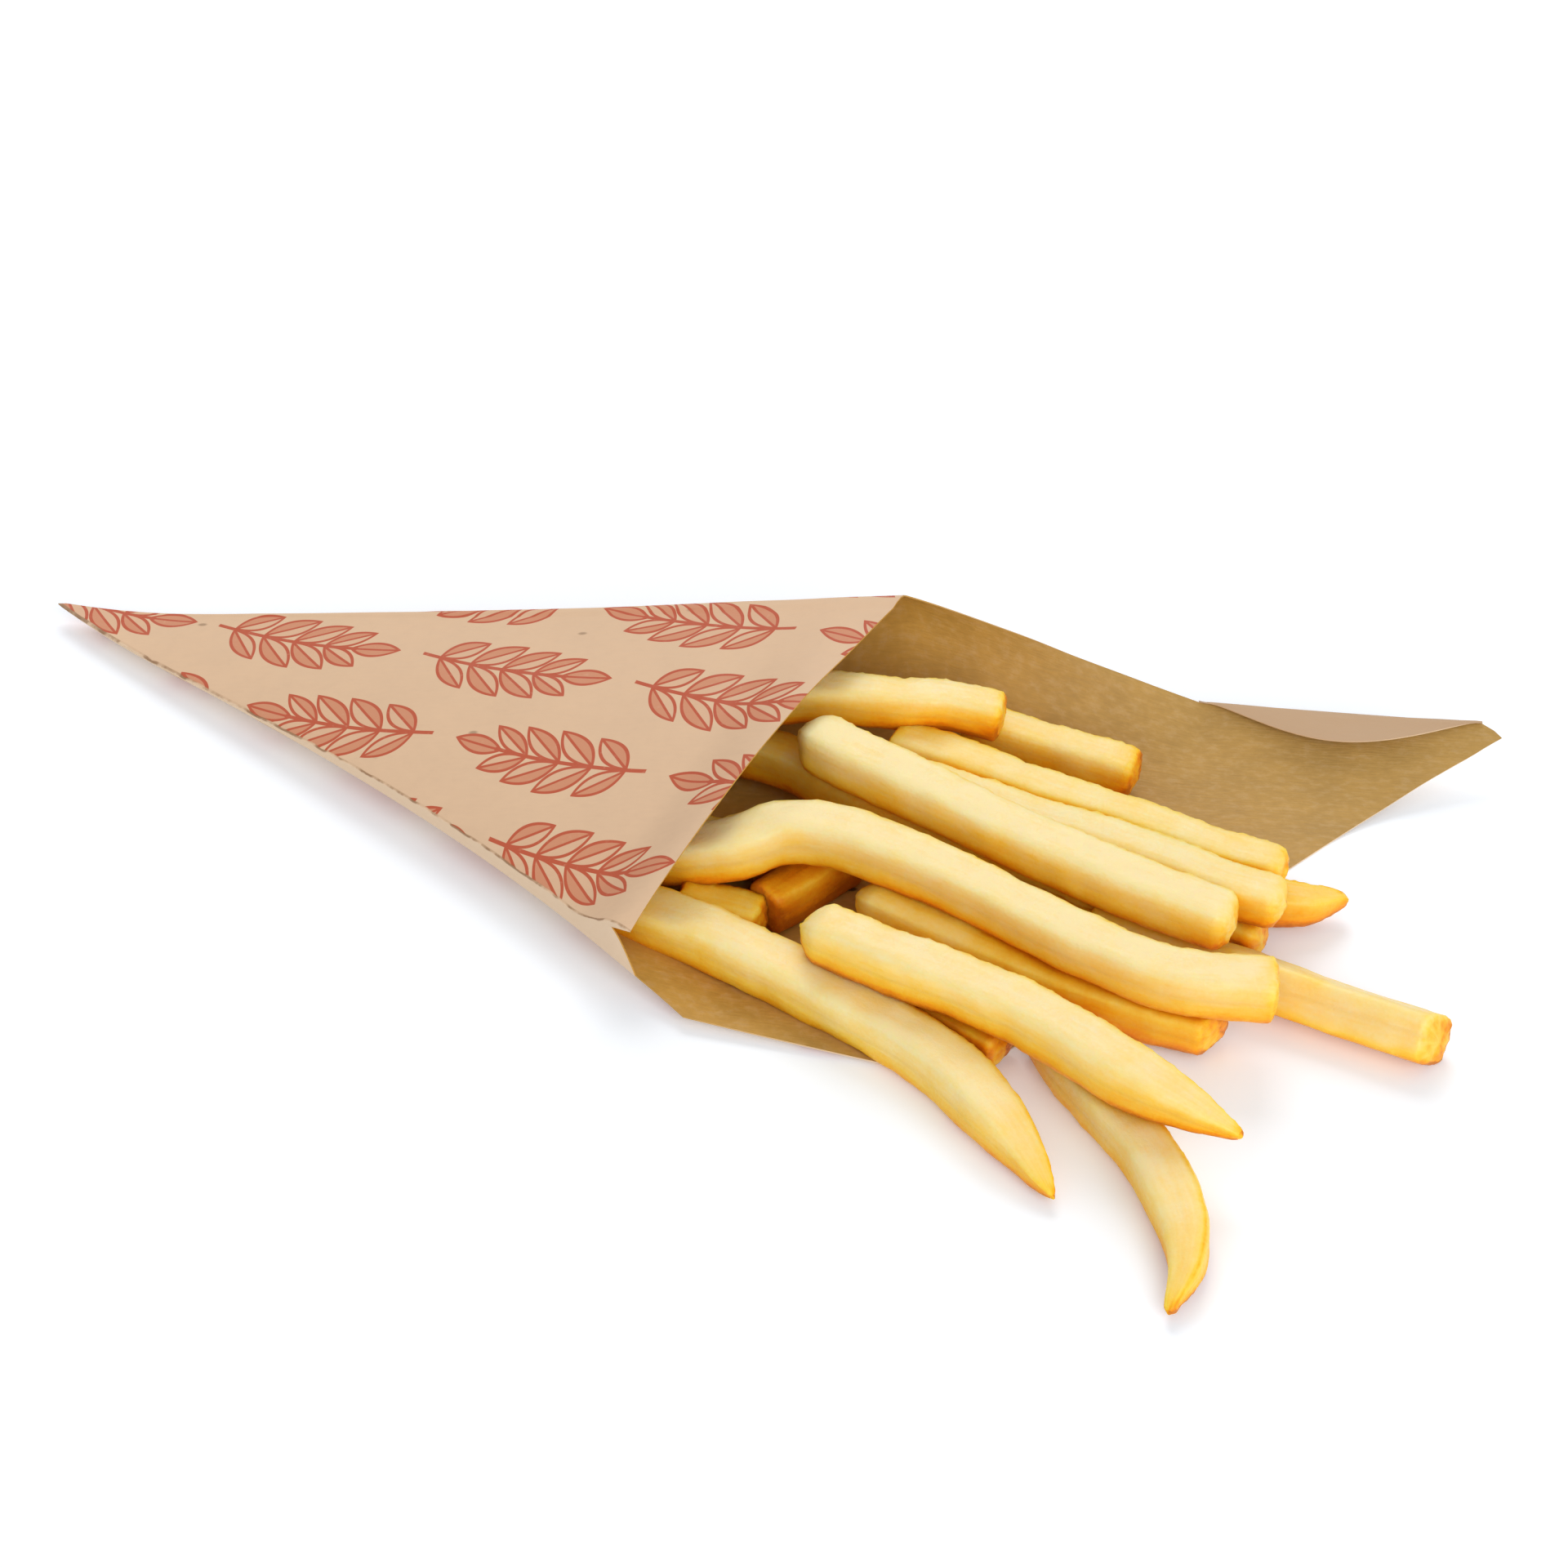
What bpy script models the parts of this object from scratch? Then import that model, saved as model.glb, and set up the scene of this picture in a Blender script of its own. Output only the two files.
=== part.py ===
"""French fries in a folded paper cone that lies on its side.

One sheet of kraft paper is folded into a flat pointed bag. Its upper panel ends at
a straight mouth, and its lower panel runs on as a long pointed flap that carries
the fries spilling out. The paper lies on the floor, z = 0, and the origin is the
middle of the whole part's footprint. Lengths are in millimetres and are turned
into metres by MM as the meshes are made.
"""
import math

import bmesh
import bpy
from mathutils import Vector

MM = 0.001

# The paper cone: radii and bearings are taken about its apex, in plan.
APEX = (-126.5, 86.2)
PAPER = 0.5
FAR_BEARING = -9.6          # bearing of the far fold, degrees
NEAR_BEARING = -37.4        # bearing of the near edge close to the apex
NEAR_SWING = 4.9            # how much further the near edge has swung out at SWING_RADIUS
SWING_RADIUS = 150.0
MOUTH_NEAR = 141.0          # radius of the mouth at the near fold
MOUTH_FAR = 154.5           # and at the far fold
NEAR_CORNER = 157.0         # where the near edge of the lower panel ends
FLAP_CORNER = (29.0, -33.8)      # the lower panel's near corner
FLAP_TIP = (126.8, 43.0)         # the flap's point

# Heights of the paper above the floor.
TIP_CURL = 3.0              # lift of the apex
CURL_LENGTH = 28.0          # stretch over which the apex comes off the floor
FOLD_SLOPE = 0.163          # rise of the far fold per millimetre of radius
FOLD_SAG = 1.1
NEAR_SLOPE = 0.034          # rise of the near fold per millimetre of radius
NEAR_KICK = 3.7             # extra height of the near fold at the mouth
KICK_START = 118.0
BULGE = 6.2                 # crown of the upper panel at the mouth
BULGE_GROWTH = 1.5          # how steeply the crown grows from the apex to the mouth
BULGE_FULLNESS = 0.9        # below 1 makes the crown fuller than a half sine wave
TURN_START = 206.0          # where the far edge of the flap begins to turn in
TURN_END = 254.0
LOW_EDGE = 7.5              # height of the far edge there
HIGH_EDGE = 9.7             # and at the flap's end
TURN_WIDTH = 6.6            # widest part of the turned-in edge
TURN_SLOPE = math.radians(12)
TURN_CURVE = 1.2            # above 1 makes the turned-in edge's two ends slimmer
WALL_WIDTH = 26.0           # plan width of the curve from the floor up to the far fold

# How finely the sheet is drawn: the steps across it, and its rows as shares of the
# way from the apex to the mouth and from the mouth to the flap's cut edge.
FRONT_STEPS = 9
WALL_STEPS = 6
FLOOR_SHARES = (0.18, 0.34, 0.5, 0.65, 0.79, 0.86, 0.93)
BAG_SHARES = (0.05, 0.1, 0.16, 0.22, 0.32, 0.44, 0.56, 0.68, 0.78, 0.86, 0.93, 1.0)
FLAP_SHARES = (0.08, 0.17, 0.26, 0.35, 0.43, 0.518, 0.6, 0.68, 0.76, 0.84, 0.92, 1.0)
TURN_ROW = 5                # the flap row at which the turned-in edge starts
CUT_ROUNDS = 12             # rounds in which a line's meeting with a cut edge settles

# The fries. Each path is the centre line, then come its width and thickness and
# the length over which its two ends taper, with how much of the size is left there.
ROUND = (3.0, 0.62)
BLUNT = (1.4, 0.86)
POINT = (26.0, 0.24)
SHORT_POINT = (16.0, 0.26)
FRY_CUTS = 11               # sections along each fry
START_CUT = 3.0             # furthest section of the tapered start
END_CUT = 0.25              # share of the tapered end at which it gets one more section
FRY_CHAMFER = 0.2           # share of the section that the chamfered edges take
FRIES = (
    # The near fry that bends down to the floor, and the fry that crosses over it.
    (((-20, 0, 5.2), (-9, -5, 5.2), (9, -18, 5.2), (26, -32, 5.2), (38, -48, 5), (45, -61, 2.4)),
     8.0, 8.0, ROUND, POINT),
    (((7, -12, 13.2), (22, -21, 13.2), (41, -32, 13.2), (57, -46, 13), (73, -57, 12)),
     8.4, 8.4, ROUND, POINT),
    # The long wavy fry that climbs out of the mouth, and the short ones beneath it.
    (((-30, 26, 5.2), (-18, 12.5, 7.9), (-5, 8, 12.9), (5, 9, 15.5), (17, 5, 16), (33, -4, 15),
      (51, -17, 14.2), (66, -25, 13.6), (82, -27, 13.2)), 8.6, 8.2, BLUNT, BLUNT),
    (((-9, 7, 5), (0, 7, 5), (11, 6, 5)), 8.0, 7.6, BLUNT, BLUNT),
    (((16, 3, 7), (29, -5, 6), (42, -13, 5.4), (57, -22, 5.1), (70, -29, 4.8)),
     8.2, 8.0, ROUND, BLUNT),
    (((-38, 33, 5), (-24, 26, 5.2), (-8, 18, 5), (10, 12, 5)), 7.8, 7.6, BLUNT, BLUNT),
    # The broad fry on top, with the shaded one under it.
    (((7, 31, 18.5), (20, 21, 18), (43, 5, 17), (62, -7, 16.2), (76, -14, 15.5)),
     8.8, 8.6, ROUND, ROUND),
    (((-30, 53, 5.4), (-13, 45, 6.5), (4, 36, 9), (14, 28, 9), (26, 20, 8.5), (42, 10, 6.5), (58, -1, 5.2)),
     8.0, 8.0, BLUNT, BLUNT),
    # The two beside it and what they rest on.
    (((27, 23, 13.5), (42, 15, 13.5), (62, 5, 13.5), (76, -3, 13.5), (85, -7, 13.5)),
     8.2, 8.0, BLUNT, ROUND),
    (((23, 36, 12), (37, 28, 12.3), (50, 20, 12.5), (64, 13, 12.5), (76, 6, 12.5), (86, 2, 12.5)),
     7.8, 7.6, BLUNT, ROUND),
    (((30, 26, 5.2), (42, 21, 5.2), (56, 15, 5.2)), 7.8, 7.6, BLUNT, BLUNT),
    (((58, 17, 5.2), (69, 12, 5.2), (82, 5, 5), (90, 3, 4.6), (97, 5, 3.8)),
     7.2, 7.0, BLUNT, SHORT_POINT),
    (((61, 7, 5.1), (71, 0, 5), (82, -6, 4.8)), 7.8, 7.8, BLUNT, BLUNT),
    # The two at the back, against the far wall of the paper.
    (((-14, 46, 14), (0, 42, 16.8), (12, 41, 18), (23, 40, 17.6), (32, 40, 17), (41, 38, 16)),
     7.6, 7.4, BLUNT, BLUNT),
    (((35, 45, 9.5), (43, 42, 8.6), (54, 38, 7.6), (64, 34, 6.8)), 7.2, 7.0, BLUNT, BLUNT),
    # The one that reaches furthest right, and the one that lies nearest.
    (((55, -2, 5.2), (67, -9, 5.1), (83, -17, 4.8), (96, -24, 4.7), (108, -30, 4.6)),
     8.4, 8.4, BLUNT, BLUNT),
    (((40, -23, 5.2), (45, -32, 5.1), (53, -42, 5.1), (62, -58, 4.9), (66, -73, 4.4), (62, -86, 2.4)),
     8.2, 8.0, BLUNT, POINT),
)
# The middle of the heap, where fries lie packed: its foot and its crest.
# It stands clear of the paper, and the fries above are joined to it.
HEAP_FOOT = ((-36, 34, 1.4), (-10, 45, 1.4), (34, 40, 4.5), (62, 20, 1.4), (80, -4, 1.4),
             (66, -22, 1.4), (28, -28, 1.4), (6, -14, 1.4), (-12, 4, 1.4))
HEAP_CREST = ((0, 41, 15), (36, 42.5, 13), (64, 10, 12.5), (72, -10, 12.5), (50, -24, 11),
              (14, -10, 11), (0, 6, 11), (-6, 26, 13))


def smooth(value):
    """An S-shaped step from 0 to 1."""
    value = min(1.0, max(0.0, value))
    return value * value * (3.0 - 2.0 * value)


def polar(radius, bearing, height):
    """The point at a radius and bearing about the apex."""
    angle = math.radians(bearing)
    return Vector((APEX[0] + radius * math.cos(angle),
                   APEX[1] + radius * math.sin(angle), height))


def plan_bearing(point):
    """Bearing of a point about the apex, in degrees."""
    return math.degrees(math.atan2(point[1] - APEX[1], point[0] - APEX[0]))


def near_bearing(radius):
    """Bearing of the near edge, which swings out slightly towards the mouth."""
    return NEAR_BEARING - NEAR_SWING * (min(radius, NEAR_CORNER) / SWING_RADIUS) ** 2


def lift(radius):
    """How far the curled tip holds the paper off the floor."""
    return TIP_CURL * max(0.0, 1.0 - radius / CURL_LENGTH) ** 2


def fold_height(radius):
    """Height of the far fold, and of the flap's far edge beyond the mouth."""
    if radius <= MOUTH_FAR:
        return FOLD_SLOPE * radius - FOLD_SAG * math.sin(math.pi * radius / MOUTH_FAR)
    top = FOLD_SLOPE * MOUTH_FAR
    if radius <= TURN_START:
        share = (radius - MOUTH_FAR) / (TURN_START - MOUTH_FAR)
        return top + (LOW_EDGE - top) * share
    share = (radius - TURN_START) / (TURN_END - TURN_START)
    return LOW_EDGE + (HIGH_EDGE - LOW_EDGE) * min(1.0, share)


def near_height(radius):
    """Height of the near fold."""
    kick = smooth((radius - KICK_START) / (MOUTH_NEAR - KICK_START))
    return NEAR_SLOPE * radius + NEAR_KICK * kick


def front_point(radius, share):
    """A point of the upper panel, from the near fold at 0 to the far fold at 1."""
    low = near_height(radius)
    high = fold_height(radius)
    arch = max(0.0, math.sin(math.pi * share)) ** BULGE_FULLNESS
    crown = BULGE * (max(radius, 0.0) / MOUTH_NEAR) ** BULGE_GROWTH * arch
    start = near_bearing(radius)
    bearing = start + (FAR_BEARING - start) * share
    return polar(radius, bearing, lift(radius) + low + (high - low) * share + crown)


def wall_point(radius, share):
    """A point of the curve from the far fold at 0 down to the floor at 1."""
    width = min(WALL_WIDTH, WALL_WIDTH * radius / MOUTH_FAR)
    turn = share * math.pi / 2.0
    flat = smooth((radius - MOUTH_FAR) / (TURN_START - MOUTH_FAR))
    inward = (1.0 - math.cos(turn)) * (1.0 - flat) + share * flat
    height = (1.0 - math.sin(turn)) * (1.0 - flat) + (1.0 - share) ** 2 * flat
    bearing = FAR_BEARING - math.degrees(inward * width / max(radius, 1.0))
    return polar(radius, bearing, lift(radius) + fold_height(radius) * height)


def floor_point(radius, share):
    """A point of the lower panel's flat part, from the wall's foot to the near edge."""
    foot = FAR_BEARING - math.degrees(min(WALL_WIDTH / MOUTH_FAR, WALL_WIDTH / max(radius, 1.0)))
    bearing = foot + (near_bearing(radius) - foot) * share
    return polar(radius, bearing, lift(radius))


def columns():
    """The lines of the sheet from the near edge round the bag and back, as functions."""
    lines = [lambda r: floor_point(r, 1.0)]
    for step in range(FRONT_STEPS + 1):
        lines.append(lambda r, s=step / FRONT_STEPS: front_point(r, s))
    for step in range(1, WALL_STEPS + 1):
        lines.append(lambda r, s=step / WALL_STEPS: wall_point(r, s))
    for share in FLOOR_SHARES:
        lines.append(lambda r, s=share: floor_point(r, s))
    return lines


def cut_radius(line, start, end):
    """Radius at which a line of the sheet meets the straight cut from start to end."""
    radius = MOUTH_FAR
    for _ in range(CUT_ROUNDS):
        bearing = math.radians(plan_bearing(line(radius)))
        along = Vector((end[0] - start[0], end[1] - start[1]))
        offset = Vector((start[0] - APEX[0], start[1] - APEX[1]))
        ray = Vector((math.cos(bearing), math.sin(bearing)))
        radius = along.cross(offset) / along.cross(ray)
    return radius


def flap_radius(line):
    """Radius at which a line of the lower panel meets the flap's cut outline."""
    reach = cut_radius(line, FLAP_CORNER, FLAP_TIP)
    if plan_bearing(line(reach)) >= plan_bearing(FLAP_CORNER):
        return reach
    corner = polar(NEAR_CORNER, near_bearing(NEAR_CORNER), 0.0)
    return cut_radius(line, corner, FLAP_CORNER)


def turned_edge(radius, share):
    """A point of the far edge that is turned in over the flap."""
    along = (radius - TURN_START) / (TURN_END - TURN_START)
    width = TURN_WIDTH * math.sin(math.pi * along) ** TURN_CURVE * share
    angle = math.radians(FAR_BEARING)
    inward = Vector((math.sin(angle), -math.cos(angle), -math.tan(TURN_SLOPE)))
    return wall_point(radius, 0.0) + inward * width


def paper_sheet():
    """The folded sheet's inner face: the bag, the flap and its turned-in edge."""
    sheet = bmesh.new()
    up = Vector((0.0, 0.0, PAPER))
    lines = columns()
    count = len(lines)
    fold = FRONT_STEPS + 1
    near = polar(MOUTH_NEAR, near_bearing(MOUTH_NEAR), 0.0)
    far = polar(MOUTH_FAR, FAR_BEARING, 0.0)
    mouths = [cut_radius(line, near, far) for line in lines]
    ends = [flap_radius(line) for line in lines]
    ends[0] = NEAR_CORNER

    def ring(indices, radii):
        return [sheet.verts.new((lines[i](radii[i]) + up) * MM) for i in indices]

    apex = sheet.verts.new((polar(0.0, 0.0, TIP_CURL) + up) * MM)
    rows = [ring(range(count), [mouth * share for mouth in mouths]) for share in BAG_SHARES]
    for i in range(count):
        sheet.faces.new((apex, rows[0][i], rows[0][(i + 1) % count]))
    for low, high in zip(rows, rows[1:]):
        for i in range(count):
            after = (i + 1) % count
            sheet.faces.new((low[i], high[i], high[after], low[after]))

    lower = list(range(fold, count)) + [0]
    previous = [rows[-1][i] for i in lower]
    turned = [previous[0]] * 2
    for row, share in enumerate(FLAP_SHARES):
        radii = [mouth + (end - mouth) * share for mouth, end in zip(mouths, ends)]
        current = ring(lower, radii)
        for i in range(len(lower) - 1):
            sheet.faces.new((previous[i], current[i], current[i + 1], previous[i + 1]))
        if row == TURN_ROW:
            turned = [current[0]] * 2
        if row > TURN_ROW:
            last = row == len(FLAP_SHARES) - 1
            edge = [current[0]] * 2
            if not last:
                edge = [sheet.verts.new((turned_edge(radii[fold], s) + up) * MM) for s in (0.5, 1.0)]
            strips = ((previous[0], turned[0], current[0], edge[0]),
                      (turned[0], turned[1], edge[0], edge[1]))
            for inner, outer, next_inner, next_outer in strips:
                corners = []
                for vertex in (inner, outer, next_outer, next_inner):
                    if vertex not in corners:
                        corners.append(vertex)
                if len(corners) > 2:
                    sheet.faces.new(corners)
            turned = edge
        previous = current
    bmesh.ops.recalc_face_normals(sheet, faces=sheet.faces)
    return sheet


def path_point(path, share):
    """A point of the smooth curve through a fry's path, and its direction there."""
    points = [Vector(point) for point in path]
    points = [points[0] * 2 - points[1]] + points + [points[-1] * 2 - points[-2]]
    spans = len(points) - 3
    step = min(int(share * spans), spans - 1)
    t = share * spans - step
    a, b, c, d = points[step:step + 4]
    place = (b * 2 + (c - a) * t + (a * 2 - b * 5 + c * 4 - d) * t ** 2
             + (b * 3 - a - c * 3 + d) * t ** 3) / 2
    slope = (c - a) + (a * 2 - b * 5 + c * 4 - d) * 2 * t + (b * 3 - a - c * 3 + d) * 3 * t ** 2
    return place, slope.normalized()


def end_size(distance, end):
    """Share of the full section that is left at a distance from a fry's end."""
    taper, left = end
    if distance >= taper:
        return 1.0
    return left + (1.0 - left) * math.sqrt(1.0 - (1.0 - distance / taper) ** 2)


def fry(path, width, thickness, start, end):
    """One fry: a squared stick with chamfered edges, drawn along its path."""
    stick = bmesh.new()
    bmesh.ops.create_cube(stick, size=1.0)
    edges = [edge for edge in stick.edges
             if abs(edge.verts[0].co.x - edge.verts[1].co.x) > 0.5]
    bmesh.ops.bevel(stick, geom=edges, offset=FRY_CHAMFER, segments=1, affect='EDGES')
    length = sum((Vector(b) - Vector(a)).length for a, b in zip(path, path[1:]))
    cuts = [min(start[0], START_CUT) / length, 1.0 - end[0] / length,
            1.0 - end[0] * END_CUT / length]
    cuts += [(step + 1) / (FRY_CUTS + 1) for step in range(FRY_CUTS)]
    for cut in cuts:
        bmesh.ops.bisect_plane(stick, geom=stick.verts[:] + stick.edges[:] + stick.faces[:],
                               dist=1e-5, plane_co=(cut - 0.5, 0, 0), plane_no=(1, 0, 0))
    for vertex in stick.verts:
        share = vertex.co.x + 0.5
        place, ahead = path_point(path, share)
        aside = Vector((-ahead.y, ahead.x, 0.0)).normalized()
        size = min(end_size(share * length, start), end_size((1.0 - share) * length, end))
        vertex.co = (place + aside * vertex.co.y * width * size
                     + ahead.cross(aside) * vertex.co.z * thickness * size) * MM
    return stick


def heap_core():
    """The packed middle of the heap, as one low mound."""
    mound = bmesh.new()
    for point in HEAP_FOOT + HEAP_CREST:
        mound.verts.new(Vector(point) * MM)
    bmesh.ops.convex_hull(mound, input=mound.verts)
    return mound


def material(name, colour, roughness):
    """A plain Principled material."""
    made = bpy.data.materials.new(name)
    made.use_nodes = True
    shader = made.node_tree.nodes["Principled BSDF"]
    shader.inputs["Base Color"].default_value = (*colour, 1.0)
    shader.inputs["Roughness"].default_value = roughness
    made.diffuse_color = (*colour, 1.0)
    return made


def add_object(name, shape, finish, collection):
    """Puts a finished bmesh into the scene as one object."""
    bmesh.ops.recalc_face_normals(shape, faces=shape.faces)
    mesh = bpy.data.meshes.new(name)
    shape.to_mesh(mesh)
    shape.free()
    mesh.materials.append(finish)
    made = bpy.data.objects.new(name, mesh)
    collection.objects.link(made)
    return made


def build():
    """Builds the paper cone and the heap of fries."""
    for old in list(bpy.data.objects):
        bpy.data.objects.remove(old, do_unlink=True)
    part = bpy.data.collections.new("fries_in_a_cone")
    cutters = bpy.data.collections.new("heap_fries")
    for collection in (part, cutters):
        bpy.context.scene.collection.children.link(collection)

    kraft = material("kraft_paper", (0.72, 0.49, 0.30), 0.75)
    potato = material("fried_potato", (0.90, 0.66, 0.27), 0.5)

    cone = add_object("paper_cone", paper_sheet(), kraft, part)
    wall = cone.modifiers.new("wall", 'SOLIDIFY')
    wall.thickness = PAPER * MM
    wall.offset = 1.0

    heap = add_object("fries", heap_core(), potato, part)
    for number, (path, width, thickness, start, end) in enumerate(FRIES, 1):
        stick = fry(path, width, thickness, start, end)
        piece = add_object(f"heap_fry_{number}", stick, potato, cutters)
        piece.hide_render = True
        piece.display_type = 'WIRE'
    joined = heap.modifiers.new("fries", 'BOOLEAN')
    joined.operation = 'UNION'
    joined.solver = 'EXACT'
    joined.operand_type = 'COLLECTION'
    joined.collection = cutters
    joined.use_self = True


build()
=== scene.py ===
"""French fries spilling from a folded kraft paper cone that lies on its side."""
import math

import bpy
import numpy as np
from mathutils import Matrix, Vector, noise
from mathutils.bvhtree import BVHTree


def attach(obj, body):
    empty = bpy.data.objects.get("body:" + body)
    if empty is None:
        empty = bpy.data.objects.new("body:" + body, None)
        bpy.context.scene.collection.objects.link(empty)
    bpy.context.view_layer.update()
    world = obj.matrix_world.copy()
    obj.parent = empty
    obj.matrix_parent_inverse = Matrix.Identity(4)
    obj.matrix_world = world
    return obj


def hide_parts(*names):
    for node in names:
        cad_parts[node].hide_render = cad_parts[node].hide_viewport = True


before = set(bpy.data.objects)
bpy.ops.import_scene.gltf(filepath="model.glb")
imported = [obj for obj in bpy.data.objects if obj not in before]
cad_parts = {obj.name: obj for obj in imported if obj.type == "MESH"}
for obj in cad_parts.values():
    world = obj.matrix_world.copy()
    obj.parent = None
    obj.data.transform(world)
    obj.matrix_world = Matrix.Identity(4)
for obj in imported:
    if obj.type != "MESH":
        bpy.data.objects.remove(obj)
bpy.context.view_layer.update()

# ---------------------------------------------------------------------------
# The paper cone
# One sheet of brown kraft paper, printed outside, folded into a flat pointed bag.
# The upper panel ends at a straight mouth and the lower panel runs on as a long
# pointed flap, whose far edge is turned in. Lengths are in millimetres.
# ---------------------------------------------------------------------------
MM = 0.001
APEX = (-126.5, 86.2)
SHEET = 0.25                # thickness of the paper
FAR_BEARING = -9.6          # bearing of the far fold about the apex, degrees
NEAR_BEARING = -37.4        # bearing of the near edge close to the apex
NEAR_SWING = 4.9            # how much further it has swung out at SWING_RADIUS
SWING_RADIUS = 150.0
MOUTH_NEAR = 144.6          # radius of the mouth at the near fold
MOUTH_FAR = 154.5           # and at the far fold
STRIP_END = 146.2           # radius where the narrow near strip ends on the floor
STRIP_TOP = 139.6           # and where it ends below the near fold
NEAR_CORNER = 157.0         # where the near edge of the lower panel ends
FLAP_CORNER = (31.7, -34.7)
FLAP_TIP = (127.3, 42.4, 7.8)
FOLD_TIP = (123.3, 44.3, 9.7)   # the corner between them is clipped
CUT_LEAN = 1.19             # how far the end cut leans back per millimetre of height
TIP_CURL = 3.0              # lift of the apex off the floor
CURL_LENGTH = 28.0
FOLD_SLOPE = 0.163          # rise of the far fold per millimetre of radius
FOLD_SAG = 1.1
NEAR_SLOPE = 0.021          # rise of the near fold per millimetre of radius
SIDE_START = 38.0           # nearer the apex than this the bag is creased flat
SIDE_RISE = 46.0
NEAR_KICK = 5.2
KICK_START = 131.0
EDGE_LIFT = 5.0             # how far the near edge stands off the floor
EDGE_START = 22.0           # radius over which it comes up from the apex
EDGE_FALL = 0.6             # how much of that it has lost at the near corner
EDGE_BAND = 0.36            # share of the floor panel that lifts with it
BULGE = 6.2                 # crown of the upper panel at the mouth
TURN_START = 206.0          # stretch of the far edge that is turned in
TURN_END = 254.0
LOW_EDGE = 7.5              # height of the far edge where the turn starts and ends
HIGH_EDGE = 9.7
TURN_WIDTH = 6.6
TURN_SLOPE = math.tan(math.radians(12))
WALL_WIDTH = 26.0           # width of the curve from the floor up to the far fold

STRIP_STEPS = 8             # how finely the sheet is drawn, across and along
FRONT_STEPS = 66
WALL_STEPS = 28
FLOOR_STEPS = 46
BAG_ROWS = 120
FLAP_ROWS = 90
TURN_STEPS = 8
FOLD_COLUMNS = 4            # how many columns each side of the far fold its rounding takes
FOLD_LIFT = 2.8             # raises the rounded fold back to its full height
NEAR_FOLD = STRIP_STEPS
FAR_FOLD = NEAR_FOLD + FRONT_STEPS
WALL_FOOT = FAR_FOLD + WALL_STEPS
LAST_COLUMN = WALL_FOOT + FLOOR_STEPS


def smooth_step(value):
    value = np.clip(value, 0.0, 1.0)
    return value * value * (3.0 - 2.0 * value)


def polar(radius, bearing, height):
    angle = np.radians(bearing)
    return np.stack(np.broadcast_arrays(APEX[0] + radius * np.cos(angle),
                                        APEX[1] + radius * np.sin(angle), height), axis=-1)


def near_bearing(radius):
    return NEAR_BEARING - NEAR_SWING * (np.minimum(radius, NEAR_CORNER) / SWING_RADIUS) ** 2


def tip_lift(radius):
    return TIP_CURL * np.maximum(0.0, 1.0 - radius / CURL_LENGTH) ** 2


def fold_height(radius):
    bag = FOLD_SLOPE * radius - FOLD_SAG * np.sin(math.pi * np.minimum(radius / MOUTH_FAR, 1.0))
    top = FOLD_SLOPE * MOUTH_FAR
    fall = top + (LOW_EDGE - top) * (radius - MOUTH_FAR) / (TURN_START - MOUTH_FAR)
    rise = (radius - TURN_START) / (TURN_END - TURN_START)
    end = LOW_EDGE + (HIGH_EDGE - LOW_EDGE) * np.clip(rise, 0.0, 1.0)
    return np.where(radius <= MOUTH_FAR, bag, np.where(radius <= TURN_START, fall, end))


def edge_height(radius):
    full = EDGE_LIFT * (1.0 - np.exp(-radius / EDGE_START))
    return full * (1.0 - EDGE_FALL * smooth_step((radius - STRIP_TOP) / (NEAR_CORNER - STRIP_TOP)))


def outward(radius, rise):
    """The turn that keeps a raised near edge in line with where it would meet the floor."""
    return np.degrees(0.74 * rise / np.maximum(radius, 1.0))


def near_height(radius):
    side = 0.3 * np.minimum(radius / 10.0, 1.0)
    side += NEAR_SLOPE * radius * smooth_step((radius - SIDE_START) / SIDE_RISE)
    side += NEAR_KICK * smooth_step((radius - KICK_START) / (MOUTH_NEAR - KICK_START))
    return edge_height(radius) + side


def front_point(radius, share):
    low, high = near_height(radius), fold_height(radius)
    arch = np.maximum(0.0, np.sin(math.pi * share)) ** 0.9
    crown = BULGE * (np.maximum(radius, 0.0) / MOUTH_NEAR) ** 1.5 * arch
    start = near_bearing(radius) - outward(radius, edge_height(radius))
    bearing = start + (FAR_BEARING - start) * share
    return polar(radius, bearing, tip_lift(radius) + low + (high - low) * share + crown)


def wall_point(radius, share):
    width = np.minimum(WALL_WIDTH, WALL_WIDTH * radius / MOUTH_FAR)
    turn = share * math.pi / 2.0
    flat = smooth_step((radius - MOUTH_FAR) / (TURN_START - MOUTH_FAR))
    inward = (1.0 - np.cos(turn)) * (1.0 - flat) + share * flat
    height = (1.0 - np.sin(turn)) * (1.0 - flat) + (1.0 - share) ** 2 * flat
    bearing = FAR_BEARING - np.degrees(inward * width / np.maximum(radius, 1.0))
    return polar(radius, bearing, tip_lift(radius) + fold_height(radius) * height)


def floor_point(radius, share):
    foot = FAR_BEARING - np.degrees(np.minimum(WALL_WIDTH / MOUTH_FAR, WALL_WIDTH / np.maximum(radius, 1.0)))
    rise = edge_height(radius) * np.maximum(0.0, (share - 1.0) / EDGE_BAND + 1.0) ** 1.5
    bearing = foot + (near_bearing(radius) - foot) * share - outward(radius, rise)
    return polar(radius, bearing, tip_lift(radius) + rise)


def turned_point(radius, share):
    along = np.clip((radius - TURN_START) / (TURN_END - TURN_START), 0.0, 1.0)
    width = TURN_WIDTH * np.sin(math.pi * along) ** 1.2 * share
    angle = math.radians(FAR_BEARING)
    place = wall_point(radius, 0.0)
    place[..., 0] += math.sin(angle) * width
    place[..., 1] -= math.cos(angle) * width
    place[..., 2] += 0.5 * np.sqrt(np.clip(width, 0.0, 0.6) / 0.6) - TURN_SLOPE * width
    return place


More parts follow.
